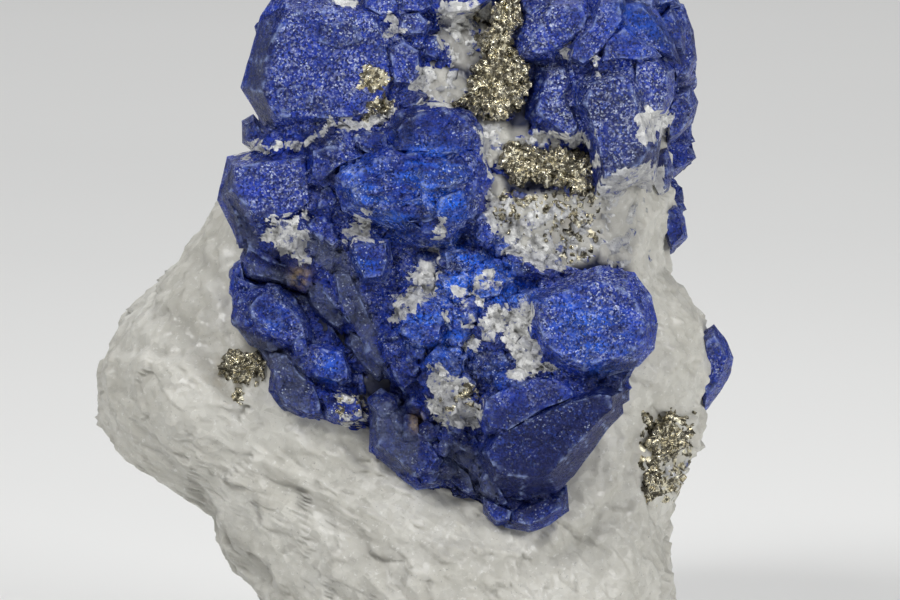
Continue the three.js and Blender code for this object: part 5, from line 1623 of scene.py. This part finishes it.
CALCITE_CHIPS = [
    ([[413, 270], [426, 246], [440, 258], [438, 290], [415, 308], [392, 322], [390, 300]], 14, 0.3, 0.7),
    ([[478, 312], [505, 304], [530, 306], [551, 372], [514, 368], [500, 335], [478, 345]], 20, 0.3, 0.8),
    ([[422, 357], [446, 354], [478, 392], [478, 420], [460, 430], [430, 410]], 20, 0.3, 0.8),
    ([[490, 190], [600, 186], [604, 240], [560, 272], [505, 262]], 50, 0.3, 0.8),
    ([[440, 22], [470, 20], [486, 30], [478, 60], [450, 62], [436, 34]], 10, 0.3, 0.7),
    ([[662, 462], [680, 450], [686, 470], [670, 488]], 10, 0.4, 0.9),
]
SHARDS = [
    ([[400, 240], [500, 230], [560, 290], [520, 400], [420, 400], [380, 330]], 30, 0.8, 2.0),
    ([[380, 400], [420, 390], [480, 440], [450, 470], [390, 450]], 12, 0.8, 1.6),
    ([[432, 0], [490, 0], [490, 60], [440, 110]], 12, 0.6, 1.4),
    ([[230, 270], [310, 330], [340, 400], [262, 390]], 12, 0.6, 1.5),
]
STREWN = [
    ("pyrite_grains", PYRITE_GRAINS, BLOCK, PYRITE, "pyrite"),
    ("calcite_chips", CALCITE_CHIPS, RHOMB, LAZURITE, "marble"),
    ("lazurite_shards", SHARDS, BLOCK, LAZURITE, "lazurite"),
]
for name, places, template, material, slot in STREWN:
    parts = []
    for outline, count, least, most in places:
        centres = strewn(outline, count, deepest, 0.5 * (least + most) * 0.7, random)
        sizes = least + (most - least) * random.random(len(centres)) ** 2
        points, faces = blocks(centres, sizes, template, random)
        shade = np.repeat(random.random(len(centres)), len(template[0]))
        parts.append((points, faces, np.full(len(points), 0.3), shade))
    put_in(name, painted(*joined(parts)), material)


# Floor, lights and camera

def floor():
    """A wide flat floor."""
    wide = 4000
    points = np.array([[-wide, -wide, 0], [wide, -wide, 0], [wide, wide, 0], [-wide, wide, 0]], float)
    made = bpy.data.meshes.new("floor")
    made.from_pydata((points * MILLIMETRE).tolist(), [], [(0, 1, 2, 3)])
    made.materials.append(floor_look())
    thing = bpy.data.objects.new("floor", made)
    bpy.context.scene.collection.objects.link(thing)


def soft_light(name, at, aim, width, power):
    """A square lamp that looks at a point."""
    lamp = bpy.data.lights.new(name, "AREA")
    lamp.size = width
    lamp.energy = power
    thing = bpy.data.objects.new(name, lamp)
    thing.location = at
    thing.rotation_euler = (Vector(aim) - Vector(at)).to_track_quat("-Z", "Y").to_euler()
    bpy.context.scene.collection.objects.link(thing)


def photo_camera():
    """A long lens in front and a little above, at the distance that the drawing assumes."""
    lens = bpy.data.cameras.new("camera")
    lens.sensor_width = 36
    lens.lens = 36 * EYE_DISTANCE / (VIEW_WIDTH * SQUARE)
    lens.clip_end = 20
    camera = bpy.data.objects.new("camera", lens)
    away = EYE_DISTANCE * MILLIMETRE
    camera.location = (0, -away * math.cos(EYE_ANGLE),
                       MIDDLE_HEIGHT * MILLIMETRE + away * math.sin(EYE_ANGLE))
    camera.rotation_euler = (math.pi / 2 - EYE_ANGLE, 0, 0)
    bpy.context.scene.collection.objects.link(camera)
    bpy.context.scene.camera = camera


floor()
AIM = (0, 0, 0.055)
soft_light("wash", (0, 1.3, 1.2), (0, 1.5, 0), 1.6, 14)
soft_light("key", (-0.30, -0.52, 0.60), AIM, 0.26, 3.6)
soft_light("fill", (0.56, -0.48, 0.30), AIM, 0.30, 2.6)
soft_light("top", (0.05, 0.22, 0.75), AIM, 0.35, 2.0)
world = bpy.data.worlds.new("world")
world.use_nodes = True
world.node_tree.nodes["Background"].inputs[0].default_value = colour(0.90, 0.92, 0.95)
world.node_tree.nodes["Background"].inputs[1].default_value = 0.10
bpy.context.scene.world = world
bpy.context.scene.view_settings.view_transform = "Standard"
photo_camera()
